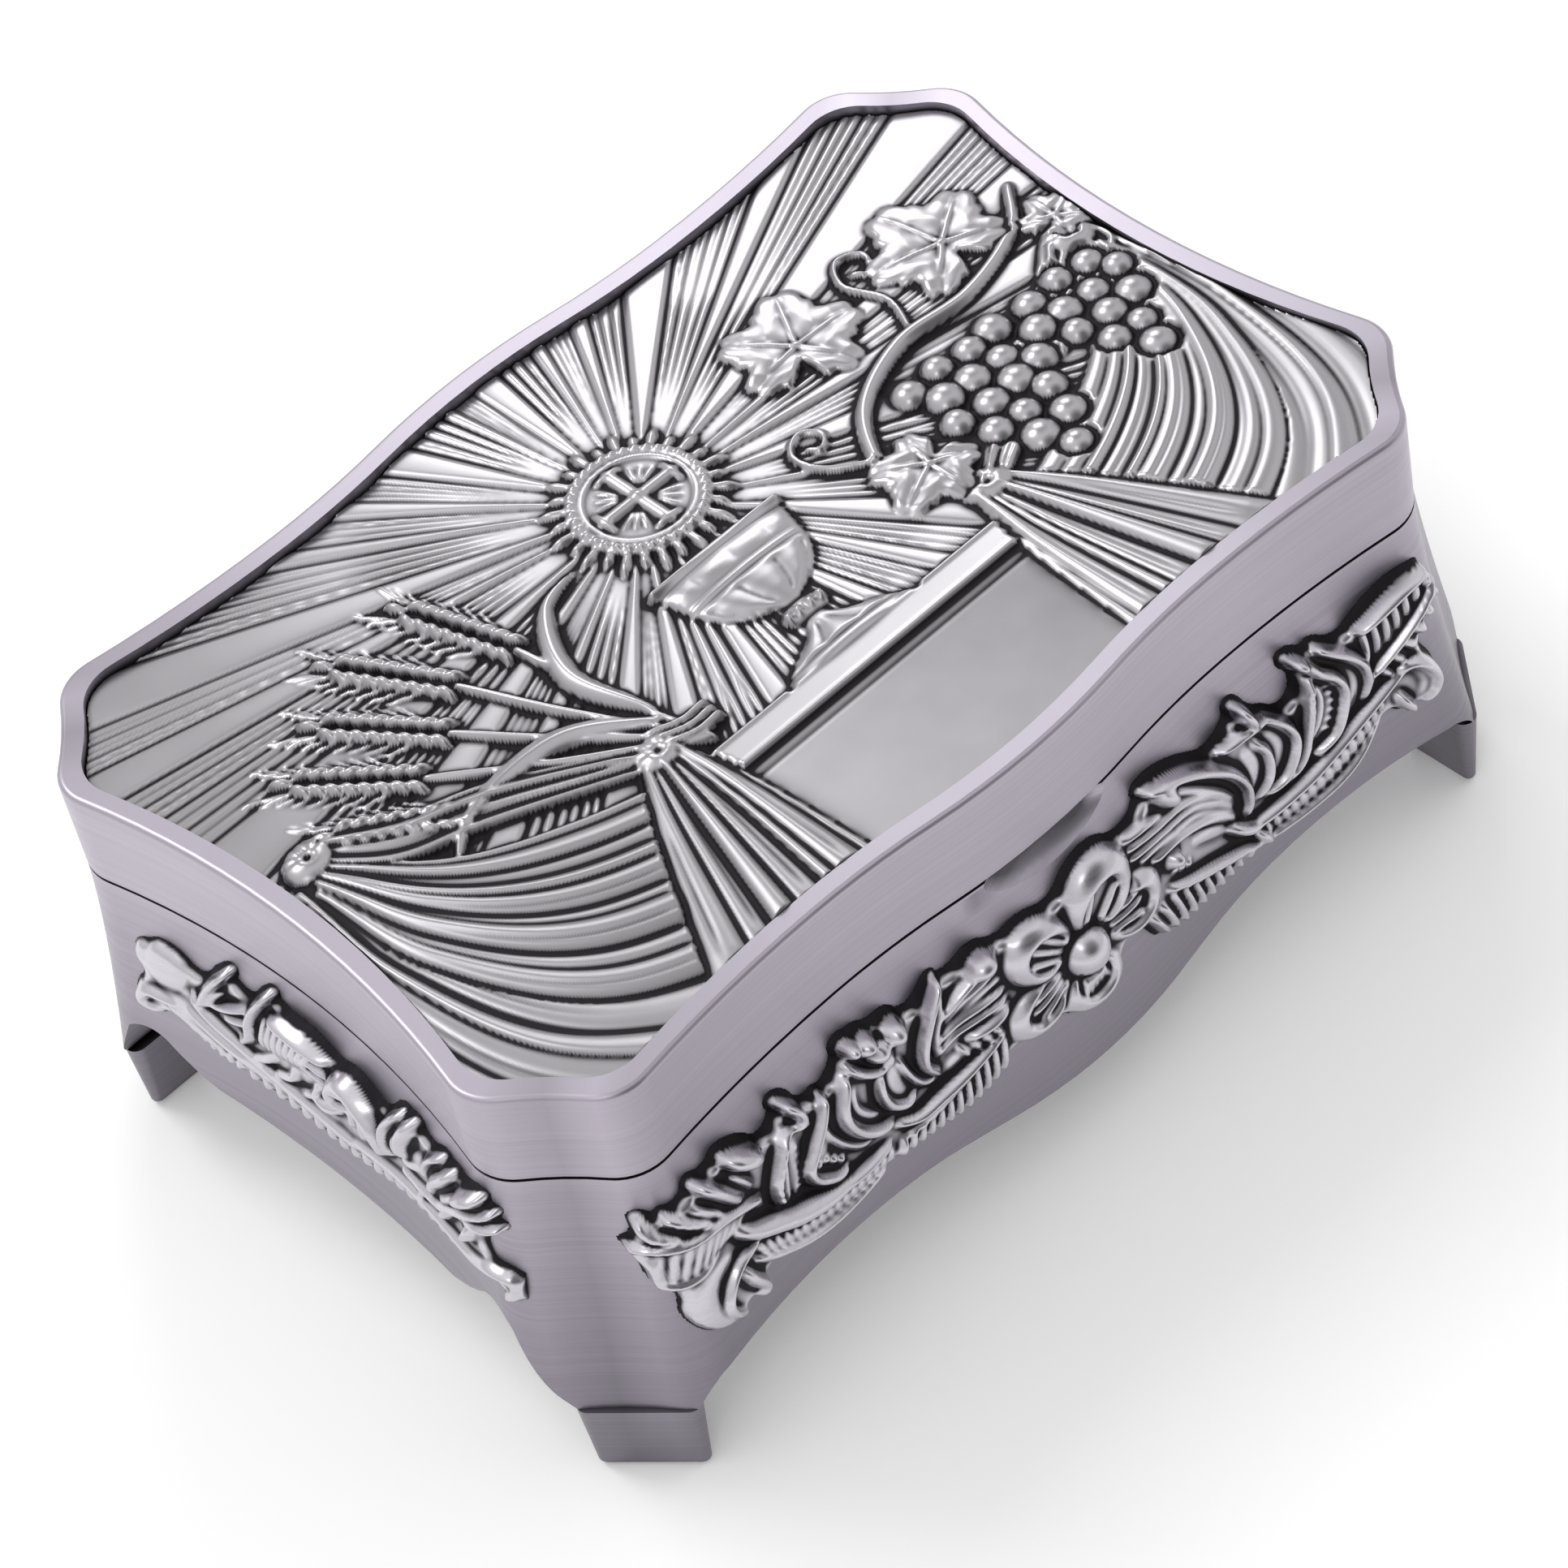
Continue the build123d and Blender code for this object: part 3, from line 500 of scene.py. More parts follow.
RIGHT_STROKES = """
# large fluted leaf
0.58 2.8  9.8,29.6 11.5,29.3 14,28.1 16.6,26.2 18.6,24.2 19.8,22 19.9,20 19.4,18.8
0.95 2.9  10.5,29.3 11.3,28.2 12.2,26.9
0.36 1.9  6.4,27.3 8.6,27.1 10.8,26.5
0.4 2.1  6.4,26.3 9.6,26 13,25.6 16,23.9 18.4,21.4
0.34 2  13.2,26.8 15.2,25.2 17.2,23.2 18.7,21.2
0.4 2.1  6.5,25.2 10.2,25 13.6,24.5 16.4,22.7 18.4,20.6
0.38 2  6.8,24.2 10.4,24.2 13.8,23.6 16.4,21.9 18.3,20
0.56 2.4  8,23.3 11,23.4 13.8,22.7 16.2,21.3 18.2,19.5
# stems over the comb
0.46 2.4  9.6,19 12,18 15,17 18,15.9 20.2,14.7
0.66 2.5  17.4,18.9 19,17.6 20.4,16.9
0.52 2.3  19.9,16.4 20.6,15.3 21.3,14.3
# cupped leaves
0.62 2.7  21.2,29 21.8,27.6 22.3,26.4
0.46 2.4  18.4,26.5 20.6,26.6 22.2,26.4 23.8,25.9
0.52 2.6  23.6,26.1 25.1,24.3 25.8,22.6 25.3,20.9 24,19.4 22.2,18.8
0.5 2.4  21.9,24.7 22.7,23.4 22.8,21.9 22.3,20.4 21,19.2
# beaded leaf
0.5 2.6  28.6,26.4 28.2,25 27.8,23.6 27,21.8 26.4,20.4 25.4,19.3 23.8,18.7
0.34 2  28.9,26 29.3,24 28.7,22 27.6,20.3
0.6 2.8  27.4,29.3 28.5,28.2
0.54 2.7  27.8,29 28.8,27.8 29.6,26.6 30.9,25.2 31.5,23.6 31,21.6 29.9,19.8 27.8,18.8
# plain lobe
0.52 2.5  30.2,28.5 31.6,27.2 33,25.8 34,24.2 34.2,22.4 33.6,20.6
# feather
0.5 2.5  34.6,22.3 36.6,23.4 38.6,24.6 40.6,25.9 42.2,27.4
0.62 2.5  34.4,27.4 37.6,28.5 39.6,28.9 41.6,28.8
# stem and scroll
0.62 2.5  18.8,17.3 22,17.1 26,17.4 29,18.1 33,19.3 36,20.2 38.2,20.8
0.42 2  20.8,14.5 25,14.3 29,14.5 32,15.4 34.8,17.4
0.55 2.5  37.4,21.1 38.9,20.9 40.1,19.8 40.7,18.2 40.2,16.8 39.2,16.2
0.58 2.5  36.9,18.5 37.5,17.2 38.1,16.2
"""
RIGHT_COMBS = """
10 0.4 2.1  7.2,17.8 9.6,18.4 12.4,17.6 16,16.4 18.4,15.6
/ 8.4,15.2 10.6,14.4 13.2,14.2 16.2,14.2 18.8,14.4
15 0.33 1.9  21,16.9 25,16.9 29,17.5 32,18.5 35,19.7
/ 21.6,15 25.4,14.8 29.2,15.1 32.4,16.2 35.2,18
7 0.44 2.1  34.8,27 37,28 39.4,28.6 41.6,28.4
/ 34.7,23.8 36.8,24.5 39,25.7 41.4,27.4
6 0.44 2.2  35.4,22.7 37.4,23.8 39.6,25 41.4,26.6
/ 36.8,21 39.4,22 41.2,23.4 42.4,25.6
6 0.28 1.8  29.6,25 29.8,23 28.8,20.8
/ 30.9,24.4 30.9,22.4 29.8,20.4
"""


def rows_of(drawing):
    """Rows of a drawing: each row's sizes, then its lines of points."""
    for row in drawing.strip().replace("\n/", " /").splitlines():
        if not row.startswith("#"):
            sizes, lines = row.split("  ")
            yield ([float(size) for size in sizes.split()],
                   [[tuple(map(float, spot.split(","))) for spot in line.split()]
                    for line in lines.split(" / ")])


def draw(relief, floors, strokes, combs):
    """Low floors first, then raised strokes and rows of teeth between two lines."""
    for (width, height), (line,) in rows_of(floors):
        relief.ridge(line, width, min(height + 0.6, 1.55), 0.6, 0.5, flat=0.3)
    for (width, height), (line,) in rows_of(strokes):
        relief.ridge(line, width * 1.25, height, 0.65, 0.5)
    for (count, width, height), (top, bottom) in rows_of(combs):
        for a, b in zip(resampled(top, int(count)), resampled(bottom, int(count))):
            relief.ridge([a, (a + b) / 2, b], width, height, 0.7, 0.55)


def cast_ground(relief, top=3.15, spread=0.2, ground=1.1):
    """Soften the field and fill the narrow places between its forms with a low ground."""
    cover = (relief.h > 0.05).astype(float)
    wide = (blur(cover, 0.8 / relief.step) > 0.14).astype(float)
    closed = smooth_step(blur(wide, 0.8 / relief.step), 0.80, 0.94)
    relief.h = np.maximum(relief.h, ground * closed)
    relief.h = np.clip(blur(relief.h, spread / relief.step), 0, top)


BOSS = (0.0, 21.1)
# A petal is its middle from the boss, its turn, half-length, half-width, height and ribs.
PETALS = [
    (-5.5, -1.8, 198, 3.5, 2.7, 2.5, 3),
    (0.0, -3.7, -90, 2.5, 3.4, 2.3, 5),
    (5.5, 0.4, 4, 3.5, 3.1, 2.8, 3),
    (-4.3, 3.5, 141, 3.6, 3.2, 2.8, 3),
    (2.5, 4.6, 62, 3.9, 3.6, 3.1, 2),
]


def petal(relief, du, dv, turn, length, width, height, ribs):
    """Cupped petal: a thick rolled rim round a hollow that opens to the boss, with ribs in it."""
    u, v = BOSS[0] + du, BOSS[1] + dv
    way = heading(math.radians(turn))
    across = across_of(way)
    where = relief.window((u - 5, v - 5), (u + 5, v + 5))
    x, y = relief.U[where] - u, relief.V[where] - v
    far = np.hypot((x * way[0] + y * way[1]) / length, (x * across[0] + y * across[1]) / width)
    relief.h[where] = np.where(far < 1.0, 0, relief.h[where])
    relief.dome(u, v, length, height, width, turn, 0.34)
    inner = np.array((u, v)) - way * length * 0.22
    relief.dome(*inner, length * 0.66, height * 0.52, width * 0.56, turn, 0.3, mode="cut")
    for k in range(ribs):
        off = across * width * 0.36 * (k - (ribs - 1) / 2) * 2 / max(ribs - 1, 1)
        ends = [inner + off * 0.6 - way * length * 0.55,
                inner + off + way * length * (0.42 - 0.05 * abs(k - 1))]
        relief.ridge(ends, 0.27, 0.80, 0.8, 0.4, mode="add")


def flower(relief):
    """Five cupped petals round a boss."""
    for entry in PETALS:
        petal(relief, *entry)
    relief.dome(*BOSS, 2.7, 1.0, power=0.4, mode="cut")
    relief.dome(*BOSS, 2.35, 3.15, power=0.4)


# Rows of pearls: radius, height and pitch, then their line. Drops: place, radius and height.
PEARLS = """
0.46 2.85 0.8  -33,21.8 -32.9,23.4 -32,25.1 -30.9,26.4
0.44 2.75 0.85  26.6,20.8 27.2,22.2 27.9,23.8 28.4,25.6
0.42 2 0.9  -28.4,21 -27.3,20.7 -26.6,19.8 -25.5,19.5
0.42 1.8 0.9  10.8,20.1 12,19.5 13.2,19.1
"""
DROPS = [(-22.5, 28.7, 0.9, 2.6), (-21.2, 28.1, 1.2, 2.9), (-18.4, 27.2, 1.35, 3.0),
         (-20.2, 26.7, 1.4, 2.8), (-19.7, 25.3, 1.1, 2.4), (10.7, 21.5, 1.1, 2.6)]


def front_relief():
    """The whole front garland."""
    relief = Relief(-46.4, 44.2, 12.6, 31.4, GARLAND_STEP)
    draw(relief, LEFT_FLOORS, LEFT_STROKES, LEFT_COMBS)
    draw(relief, RIGHT_FLOORS, RIGHT_STROKES, RIGHT_COMBS)
    for sizes, (line,) in rows_of(PEARLS):
        relief.beads(line, *sizes)
    for drop in DROPS:
        relief.dome(*drop)
    relief.dome(-21.2, 27.4, 0.5, 1.5, mode="cut")
    flower(relief)
    cast_ground(relief)
    return relief


# ---- side ornament -----------------------------------------------------------
SIDE_FLOORS = """
2.7 2  -19,26.6 -17.2,26.2 -15.8,25
1.9 1.1  -20,22.4 -16.6,22.2 -13,20.6
2.6 1  -11.8,24.4 -8,24.4 -3,24.6 1.2,25.2
1.6 1  -12,20.4 -6,20.2 1,20.6
2.6 1.2  4,25 5.6,24 6.6,23.6
2.4 0.9  10.6,25.4 15,25.8 19.4,26.6 23,28.4
"""
SIDE_STROKES = """
# scroll and crossing stems
0.62 2.3  -16.4,22.6 -18.6,23 -20.3,22.3 -20.8,20.9 -19.4,20.3
0.8 2.6  -14,25.3 -12,23.7 -9.6,22.5 -7.6,21.5 -4.6,20.5 0,19.6 3.4,19.2
0.62 2.2  -15.4,22.8 -12.8,21.2 -10.4,20.2 -7,19.4
0.42 1.9  -17.4,21.8 -15,20.6 -13.2,19.8 -11.8,18.8
# leaf tips
0.52 2.7  -13.2,25.2 -12.2,27 -11,28.8 -9.6,30.4
0.36 2.2  -12.6,25.2 -11.4,26.9 -10.6,27.8
0.42 2.3  -11.8,25.7 -9.6,26.7 -7.2,27.8
0.4 2.1  -10.8,24.8 -8.6,25.7 -6.8,26.3
0.38 2  -9.4,23.9 -7.8,24.7 -6.4,25.4
0.56 2.8  -8.9,23.4 -7.3,25.4 -6.9,27.4 -5.9,29.4 -4.7,31
# middle leaves
0.62 2.7  -4.6,28.7 -1.6,28.8 0.6,28.5 2,28
0.4 2.2  -1.4,26.4 0.4,26.7 2,26.2
0.38 2  -1.2,25.2 0.8,25.5 2.2,25.1
0.52 2.4  -8.4,21.9 -6.4,22.8 -4.6,24.4
0.5 2.4  -5.6,21.6 -3.4,22.6 -2.4,24.4
0.5 2.3  -2.6,21.2 -0.8,22.4 0.2,24.2
0.66 2.6  -0.8,22.6 0.8,22.2 2.2,22.8
# curled shell
0.85 3  2.6,24.6 2.9,26.6 4.8,27.8 6.8,27 8.2,25.4 8.4,23.6 7.4,22.3
0.6 2.8  4.2,24.8 2.8,24.8 2.5,26 3.6,26.4 4.3,25.7
0.42 2.3  4.7,25.4 4.4,23.4 3.4,22
0.44 2.4  5.9,25.6 5.7,23.2 4.9,21.4
0.42 2.3  7,25.2 6.9,23.4 6.2,21.9
# rising leaves
0.52 2.8  9.8,24 9.6,25.8 10.1,27.6 11.2,29.3 12.2,30.4
0.36 2.2  10.6,24.4 10.7,26.2 11.5,28
0.74 2.7  12.1,26 12.2,27.6 12.9,29.2 13.6,30.4
0.36 2  11.2,24.6 13,25.4 14.4,26.2
# feather
0.42 2.2  14.8,26 15.4,27.6 16.6,29.3 17.8,30.2
0.64 2.6  16.2,25.6 17,27.2 18.5,28.9 19.4,30
0.46 2.3  17.6,26 19.4,27.6 21,29.2
0.62 2.7  20.4,28.6 21.9,29.9 23.2,31
0.46 2.5  11,23.2 14.4,24.2 17.6,25.2 20,26.8 22,28.2 24.2,29.8
0.42 2.2  21.2,26.8 23.2,27.8 24.6,28.2
0.46 2.4  12.8,21.7 13.9,23.1 14.9,24.2
0.5 2.4  16.2,22.3 17.3,23.8 18.4,25
0.5 2.4  19.8,23.4 20.9,24.7 21.6,26.2
# stem and scroll
0.6 2.3  3,19.4 7,20.2 11,20.9 16,21 20,21.2 23,22.6 24.8,22.6 25,20.8 24,19.8
"""
SIDE_COMBS = """
8 0.42 2.3  -5.4,28.2 -3,28.3 0,28
/ -6.4,24.4 -4.2,24.6 -1.4,25.2
6 0.32 1.8  -15.6,21.2 -13.4,20.2 -10.6,19.6
/ -15.4,19.6 -13.4,18.4 -11.2,18
11 0.34 1.9  -9.4,19.6 -4,19.4 1,18.9 5.6,19.2
/ -9.4,17.8 -4,17.4 1.2,17.2 5.8,17.8
9 0.34 1.9  7,19.8 11,20.4 15.4,20.4 19.4,20.6
/ 7.4,18.2 11.4,18.7 15.6,18.8 19.4,19.3
"""


def side_relief():
    """Garland of a short side: curled shell, crossing stems, rising leaves and a feather."""
    relief = Relief(-25.2, 25.6, 15.5, 32.4, GARLAND_STEP)
    draw(relief, SIDE_FLOORS, SIDE_STROKES, SIDE_COMBS)
    relief.dome(-18.8, 21.6, 0.8, 1.4, 1.2, 30, 0.5, mode="cut")
    cast_ground(relief, ground=0.9)
    relief.h *= 0.45 + 0.40 * smooth_step(relief.V, 19.0, 26.0)
    return relief


# ---- lid relief --------------------------------------------------------------
PICTURE_STEP = 0.17
PICTURE_TOP = 1.56
HOST = np.array((0.0, 11.0))


def folds(relief, first, last, count, height, sink, tips, swell, darkening):
    """Cloth between two guide lines: folds of uneven width that lean, with sharp valleys; darkening
    gives painted shade on the flanks of the folds.
    """
    a, b = resampled(first, 40), resampled(last, 40)
    spread = np.hypot(*(b - a).T)
    steps = np.linspace(0, 1, 40)
    order = np.arange(count)
    sizes = 1 + 0.45 * np.sin(2.7 * order + count) + 0.25 * np.sin(5.9 * order + 1)
    bounds = np.concatenate([[0], np.cumsum(sizes)]) / sizes.sum()
    field = np.zeros_like(relief.h)
    tone = np.zeros_like(relief.h)
    for k in range(count):
        share = (bounds[k] + bounds[k + 1]) / 2
        width = spread * ((bounds[k + 1] - bounds[k]) / 2 + 0.012)
        line = a * (1 - share) + b * share
        where, t, away, side = relief.along(line, float(width.max()))
        half = np.interp(t, steps, width)
        across = side * away / np.maximum(half, TINY)
        crown = 0.42 * math.sin(3.1 * k + count)
        out = np.where(across > crown, (across - crown) / (1 - crown),
                       (crown - across) / (1 + crown))
        round_off = np.clip(1 - out**2, 0, 1) ** 0.55
        pleat = np.exp(-((across + 0.62 * crown) / 0.13) ** 2) * (sizes[k] > 1)
        round_off -= 0.16 * pleat * smooth_step(t, 0.15, 0.4) * (1 - smooth_step(t, 0.75, 0.95))
        rise = (1 - swell) + swell * math.sin(math.pi * (0.12 + 0.76 * share))
        fall = np.interp(t, [0, 0.12, 0.88, 1], [tips[0], 1, 1, tips[1]])
        crest = height * rise * fall * (0.84 + 0.16 * math.sin(3.9 * k))
        body = np.where(np.abs(across) < 1, crest * (sink + (1 - sink) * round_off), 0)
        # painted shade: darker on a fold's flanks than on its crest
        tone[where] = np.where(body > field[where], darkening * (1 - 0.75 * round_off), tone[where])
        field[where] = np.maximum(field[where], body)
    relief.tarnish_and_shade = np.where(field > 0, tone, relief.tarnish_and_shade)
    relief.cover = np.where(field > 0, field, relief.cover)
    relief.h = np.where(field > 0, np.maximum(field, np.minimum(relief.h, 0.25)), relief.h)


def glory(relief):
    """Rays from the host to the edge: smooth wedges between bundles of fine ribs."""
    du, dv = relief.U - HOST[0], relief.V - HOST[1]
    away = np.hypot(du, dv)
    count = 26
    turn = (np.arctan2(dv, du) / (2 * math.pi)) % 1
    turn = turn + 0.0045 * np.sin(turn * 2 * math.pi * 5) + 0.003 * np.sin(turn * 2 * math.pi * 11)
    part = (turn * count) % 1
    number = np.floor(turn * count)
    share = 0.44 + 0.12 * np.sin(number * 2.4)
    inside = part < share
    sector = 2 * math.pi / count * away   # its width in mm at this distance
    wedge = 0.29 + 0.11 * np.clip(1 - (2 * part / share - 1) ** 2, 0, 1)
    wedge = wedge * smooth_step(np.minimum(part, share - part) * sector, -0.05, 0.42)
    ribs = 3 + (number % 2 == 0)
    phase = (part - share) / (1 - share) * ribs
    rib = np.floor(phase)
    width = (1 - share) / ribs * sector
    groove = smooth_step(np.minimum(phase - rib, rib + 1 - phase) * width, -0.02, 0.33)
    split = 1 - smooth_step(np.abs(phase - rib - 0.5) * width, 0.02, 0.27)
    split = split * smooth_step(away, 20.5 + 1.5 * np.sin(rib * 2.3 + number), 25.0)
    fine = (0.29 + 0.05 * np.sin(rib * 1.9 + number)) * groove * (1 - 0.72 * split)
    dash = ((rib + number) % 4 == 1)
    fine *= np.where(dash, 0.91 + 0.09 * np.sin(away * 3.4 + number), 1.0)
    fine = fine * smooth_step(away, 9.5, 15) + 0.12 * (1 - smooth_step(away, 9.5, 15))
    relief.h = np.maximum(relief.h, np.where(inside, wedge, fine))


def host(relief):
    """Host with a cross, a beaded border and a ring of small flames."""
    for k in range(28):
        way = heading(2 * math.pi * k / 28)
        flame = [HOST + way * 5.8, HOST + way * (8.4 if k % 2 else 7.6)]
        relief.ridge(flame, 0.55, 0.85, 1.0, 0.05, power=0.8)
    relief.dome(*HOST, 6.2, 1.15, power=0.12)
    relief.dome(*HOST, 5.1, 0.42, power=0.2, mode="cut")
    relief.beads(circle(HOST, 5.62, 61), 0.42, 1.4, 0.98)
    relief.ridge(circle(HOST, 4.7, 49), 0.28, 1.0, 1.0, 1.0)
    for way in ((0, 1), (1, 0), (0, -1), (-1, 0)):
        tip, across = HOST + np.array(way) * 3.7, np.array(way[::-1]) * 1.1
        relief.ridge([HOST, tip], 0.75, 1.25, 1.0, 1.0, flat=0.3)
        relief.ridge([tip - across, tip + across], 0.5, 1.3, 0.8, 0.8)
    for k in range(4):
        for lean in (-0.28, 0.0, 0.28):
            turn = math.pi * (0.25 + 0.5 * k)
            ray = [HOST + heading(turn + lean * 0.6) * 1.3, HOST + heading(turn + lean) * 3.9]
            relief.ridge(ray, 0.32, 1.0, 0.4, 0.4)
    relief.dome(*HOST, 1.0, 1.45, power=0.5)


# The cup's profile: level and half-width.
CUP = [(-14.2, 6.5), (-13.4, 6.5), (-12.9, 5.9), (-12.0, 4.4), (-11.0, 2.6), (-10.2, 1.5),
       (-9.6, 1.1), (-9.3, 1.9), (-8.4, 2.3), (-7.5, 1.9), (-7.2, 1.0), (-6.8, 1.2), (-6.2, 2.6),
       (-5.2, 4.1), (-3.8, 5.3), (-2.0, 6.1), (0.0, 6.5), (1.4, 6.8), (2.1, 7.1)]


def chalice(relief):
    """Chalice turned on its profile, with gadroons, bands and a knop."""
    levels, halves = np.array(CUP).T
    where = relief.window((-7.5, levels[0]), (7.5, levels[-1]))
    u, v = relief.U[where], relief.V[where]
    half = np.interp(v, levels, halves)
    across = np.clip(np.abs(u) / half, 0, 1)
    round_off = np.clip(1 - across**2, 0, 1) ** 0.5
    body = (0.55 + 0.125 * half) * (0.35 + 0.65 * round_off)
    turn = np.arcsin(np.clip(u / half, -1, 1))
    flute = np.abs(np.cos(turn * 4.5)) ** 0.6
    bowl = smooth_step(v, -6.9, -5.8) * (1 - smooth_step(v, -3.0, -2.4))
    foot = smooth_step(v, -12.9, -12.4) * (1 - smooth_step(v, -10.6, -10.0))
    body -= 0.26 * (1 - flute) * np.maximum(bowl, foot)
    for level, depth, spread in ((-2.2, 0.22, 0.22), (-1.3, 0.18, 0.18), (1.2, 0.2, 0.2),
                                 (-13.1, 0.3, 0.2), (-9.4, 0.25, 0.18), (-7.3, 0.25, 0.18)):
        body -= depth * np.exp(-((v - level) / spread) ** 2)
    scrolls = np.abs(np.sin(turn * 5)) ** 0.7 * np.exp(-((v + 0.05) / 0.75) ** 2)
    body += 0.13 * (scrolls - 0.4) * (np.abs(v + 0.05) < 1.0)
    inside = np.abs(u) < half
    margin = np.where(np.abs(u) < half + 0.7, np.minimum(relief.h[where], 0.35), relief.h[where])
    relief.h[where] = np.where(inside, np.maximum(body, 0.3), margin)
    relief.ridge([(-6.9, 2.0), (0, 2.0), (6.9, 2.0)], 0.5, 1.45, 0.9, 0.9)
    relief.ridge([(-6.3, -14.0), (0, -14.2), (6.3, -14.0)], 0.5, 1.2, 0.9, 0.9)
    for turn in (-0.9, -0.3, 0.3, 0.9):
        relief.dome(2.2 * math.sin(turn), -8.4, 0.5, 1.35, 0.75)


def altar(relief):
    """Altar slab with a smooth frontal."""
    where = relief.window((-20.5, -31.5), (22.5, -14.0))
    u, v = relief.U[where], relief.V[where]
    slab = (v > -16.9) & (np.abs(u - 1) < 21)
    front = (v <= -16.9) & (np.abs(u - 1) < 19.5)
    hem = 0.10 * np.exp(-((v + 18.3) / 0.16) ** 2)
    relief.h[where] = np.where(slab, 1.12, np.where(front, 0.62 - hem, relief.h[where]))
    relief.tarnish_and_shade[where] = np.where(front, 0.34 + 0.006 * (u + 0.6 * v), 0)
    for v0 in (-14.1, -16.8):
        relief.ridge([(-19.9, v0), (1, v0), (21.9, v0)], 0.36, 1.3, 1.0, 1.0)


def drapery(relief):
    """Cloth drawn up at both ends of the altar; the left one is lower, with painted shade on the
    flanks of its folds.
    """
    for side, drop, count, darkening in ((-1, 0.0, 10, 0.0), (1, 1.2, 9, 0.68)):
        inset = drop * 0.4 if side > 0 else 0

        def cloth(first, last, folded, height, tips, swell, sink=0.3, hung=drop):
            lines = [[(side * x + inset, y - hung * (k == 0)) for k, (x, y) in enumerate(line)]
                     for line in (first, last)]
            folds(relief, *lines, folded, height, sink, tips, swell, darkening)

        # the panel that hangs against the edge, the great swag and a second length over it
        cloth([(-47.5, 3.0), (-49.5, -11), (-49.3, -26), (-43.0, -40.0)],
              [(-43.6, 2.0), (-43.0, -12), (-36.5, -26.5), (-20.0, -36.0)],
              5, 1.05, (0.7, 0.9), 0.5)
        cloth([(-44.8, 1.0), (-43.6, -13), (-36.0, -26.5), (-18.5, -33.5)],
              [(-42.6, 3.6), (-35.5, -5.8), (-27.0, -10.6), (-17.0, -14.2)],
              count, 1.5, (0.75, 0.85), 0.25)
        cloth([(-43.2, 4.2), (-38.6, -2.6), (-31.5, -5.6), (-18.6, -12.0)],
              [(-41.8, 6.4), (-35.0, 0.8), (-28.0, -2.4), (-18.2, -9.8)],
              4, 1.42, (0.8, 0.7), 0.2)
        # the cascade at the altar's end
        cloth([(-20.6, -11.0), (-24.8, -18.0), (-31.8, -31.5)],
              [(-16.4, -11.0), (-15.2, -19.0), (-14.4, -32.5)],
              7, PICTURE_TOP, (0.95, 0.9), 0.2, sink=0.2, hung=0.0)
        # ties
        r = 2.5
        for x, y in ((-43.0, 4.2 - drop), (-18.4, -10.6)):
            x = side * x + inset
            relief.dome(x, y, r, PICTURE_TOP, r * 0.85, 20 * side, 0.4)
            for k in range(5):
                a = math.pi * (0.15 + 0.18 * k)
                ends = [(x + math.cos(a + lean) * r * s, y + math.sin(a + lean) * r * s * 0.85)
                        for lean, s in ((0.0, 0.95), (math.pi, 0.35))]
                relief.ridge(ends, 0.22, 0.2, 0.6, 0.4, mode="cut")


def wheat(relief):
    """Sheaf of wheat: stalks, two rows of grains on each ear, and their awns."""
    foot = np.array((-14.0, -12.5))
    for turn, stalk, bend in ((100, 19.5, 6), (114, 22.0, 4), (127, 21.0, -2), (139, 22.5, -7),
                              (152, 19.5, -11)):
        ahead, lean = heading(math.radians(turn)), math.radians(turn) + math.radians(bend)
        neck = foot + ahead * stalk
        tilt = heading(lean)
        off = across_of(tilt)
        bulge = foot + ahead * stalk * 0.55 + across_of(ahead) * 0.4
        relief.ridge([foot, bulge, neck], 0.5, 1.1, 1.0, 0.8)
        grains = [(j, hand, neck + tilt * (0.6 + j * 1.32)) for j in range(8) for hand in (-1, 1)]
        for j, hand, base in grains:
            far = base + tilt * 4.6 + off * hand * (2.6 - 0.12 * j)
            awn = [base + off * hand * 0.7, (base + far) / 2 + off * hand * 0.2, far]
            relief.ridge(awn, 0.17, 0.78, 0.9, 0.4)
        for j, hand, base in grains:
            relief.dome(*(base + off * hand * 0.86), 1.18, 1.32 + 0.02 * j, 0.60,
                        math.degrees(lean) - hand * 24, 0.5)
        relief.dome(*(neck + tilt * 11.5), 1.25, 1.3, 0.6, math.degrees(lean), 0.5)
    relief.blade([(-15.5, -8.0), (-22.0, -3.2), (-31.0, -3.4), (-36.0, -7.0)], 1.3, 1.3, 1.3)
    relief.blade([(-15.0, -7.0), (-16.8, 1.0), (-13.4, 7.6), (-8.6, 9.6)], 1.1, 1.2, 1.3)
    for lift in (-0.9, 0.0, 0.9):
        band = [(-17.2, -9.4 + lift), (-14.6, -10.6 + lift), (-12.0, -10.4 + lift)]
        relief.ridge(band, 0.5, 1.5, 0.8, 0.8)


# Lobes of a vine leaf: direction, length, half-angle and how far the vein runs.
LOBES = ((0.0, 1.0, 0.62, 0.9), (1.12, 0.92, 0.60, 0.76), (-1.12, 0.92, 0.60, 0.76),
         (2.2, 0.8, 0.60, 0.5), (-2.2, 0.8, 0.60, 0.5))


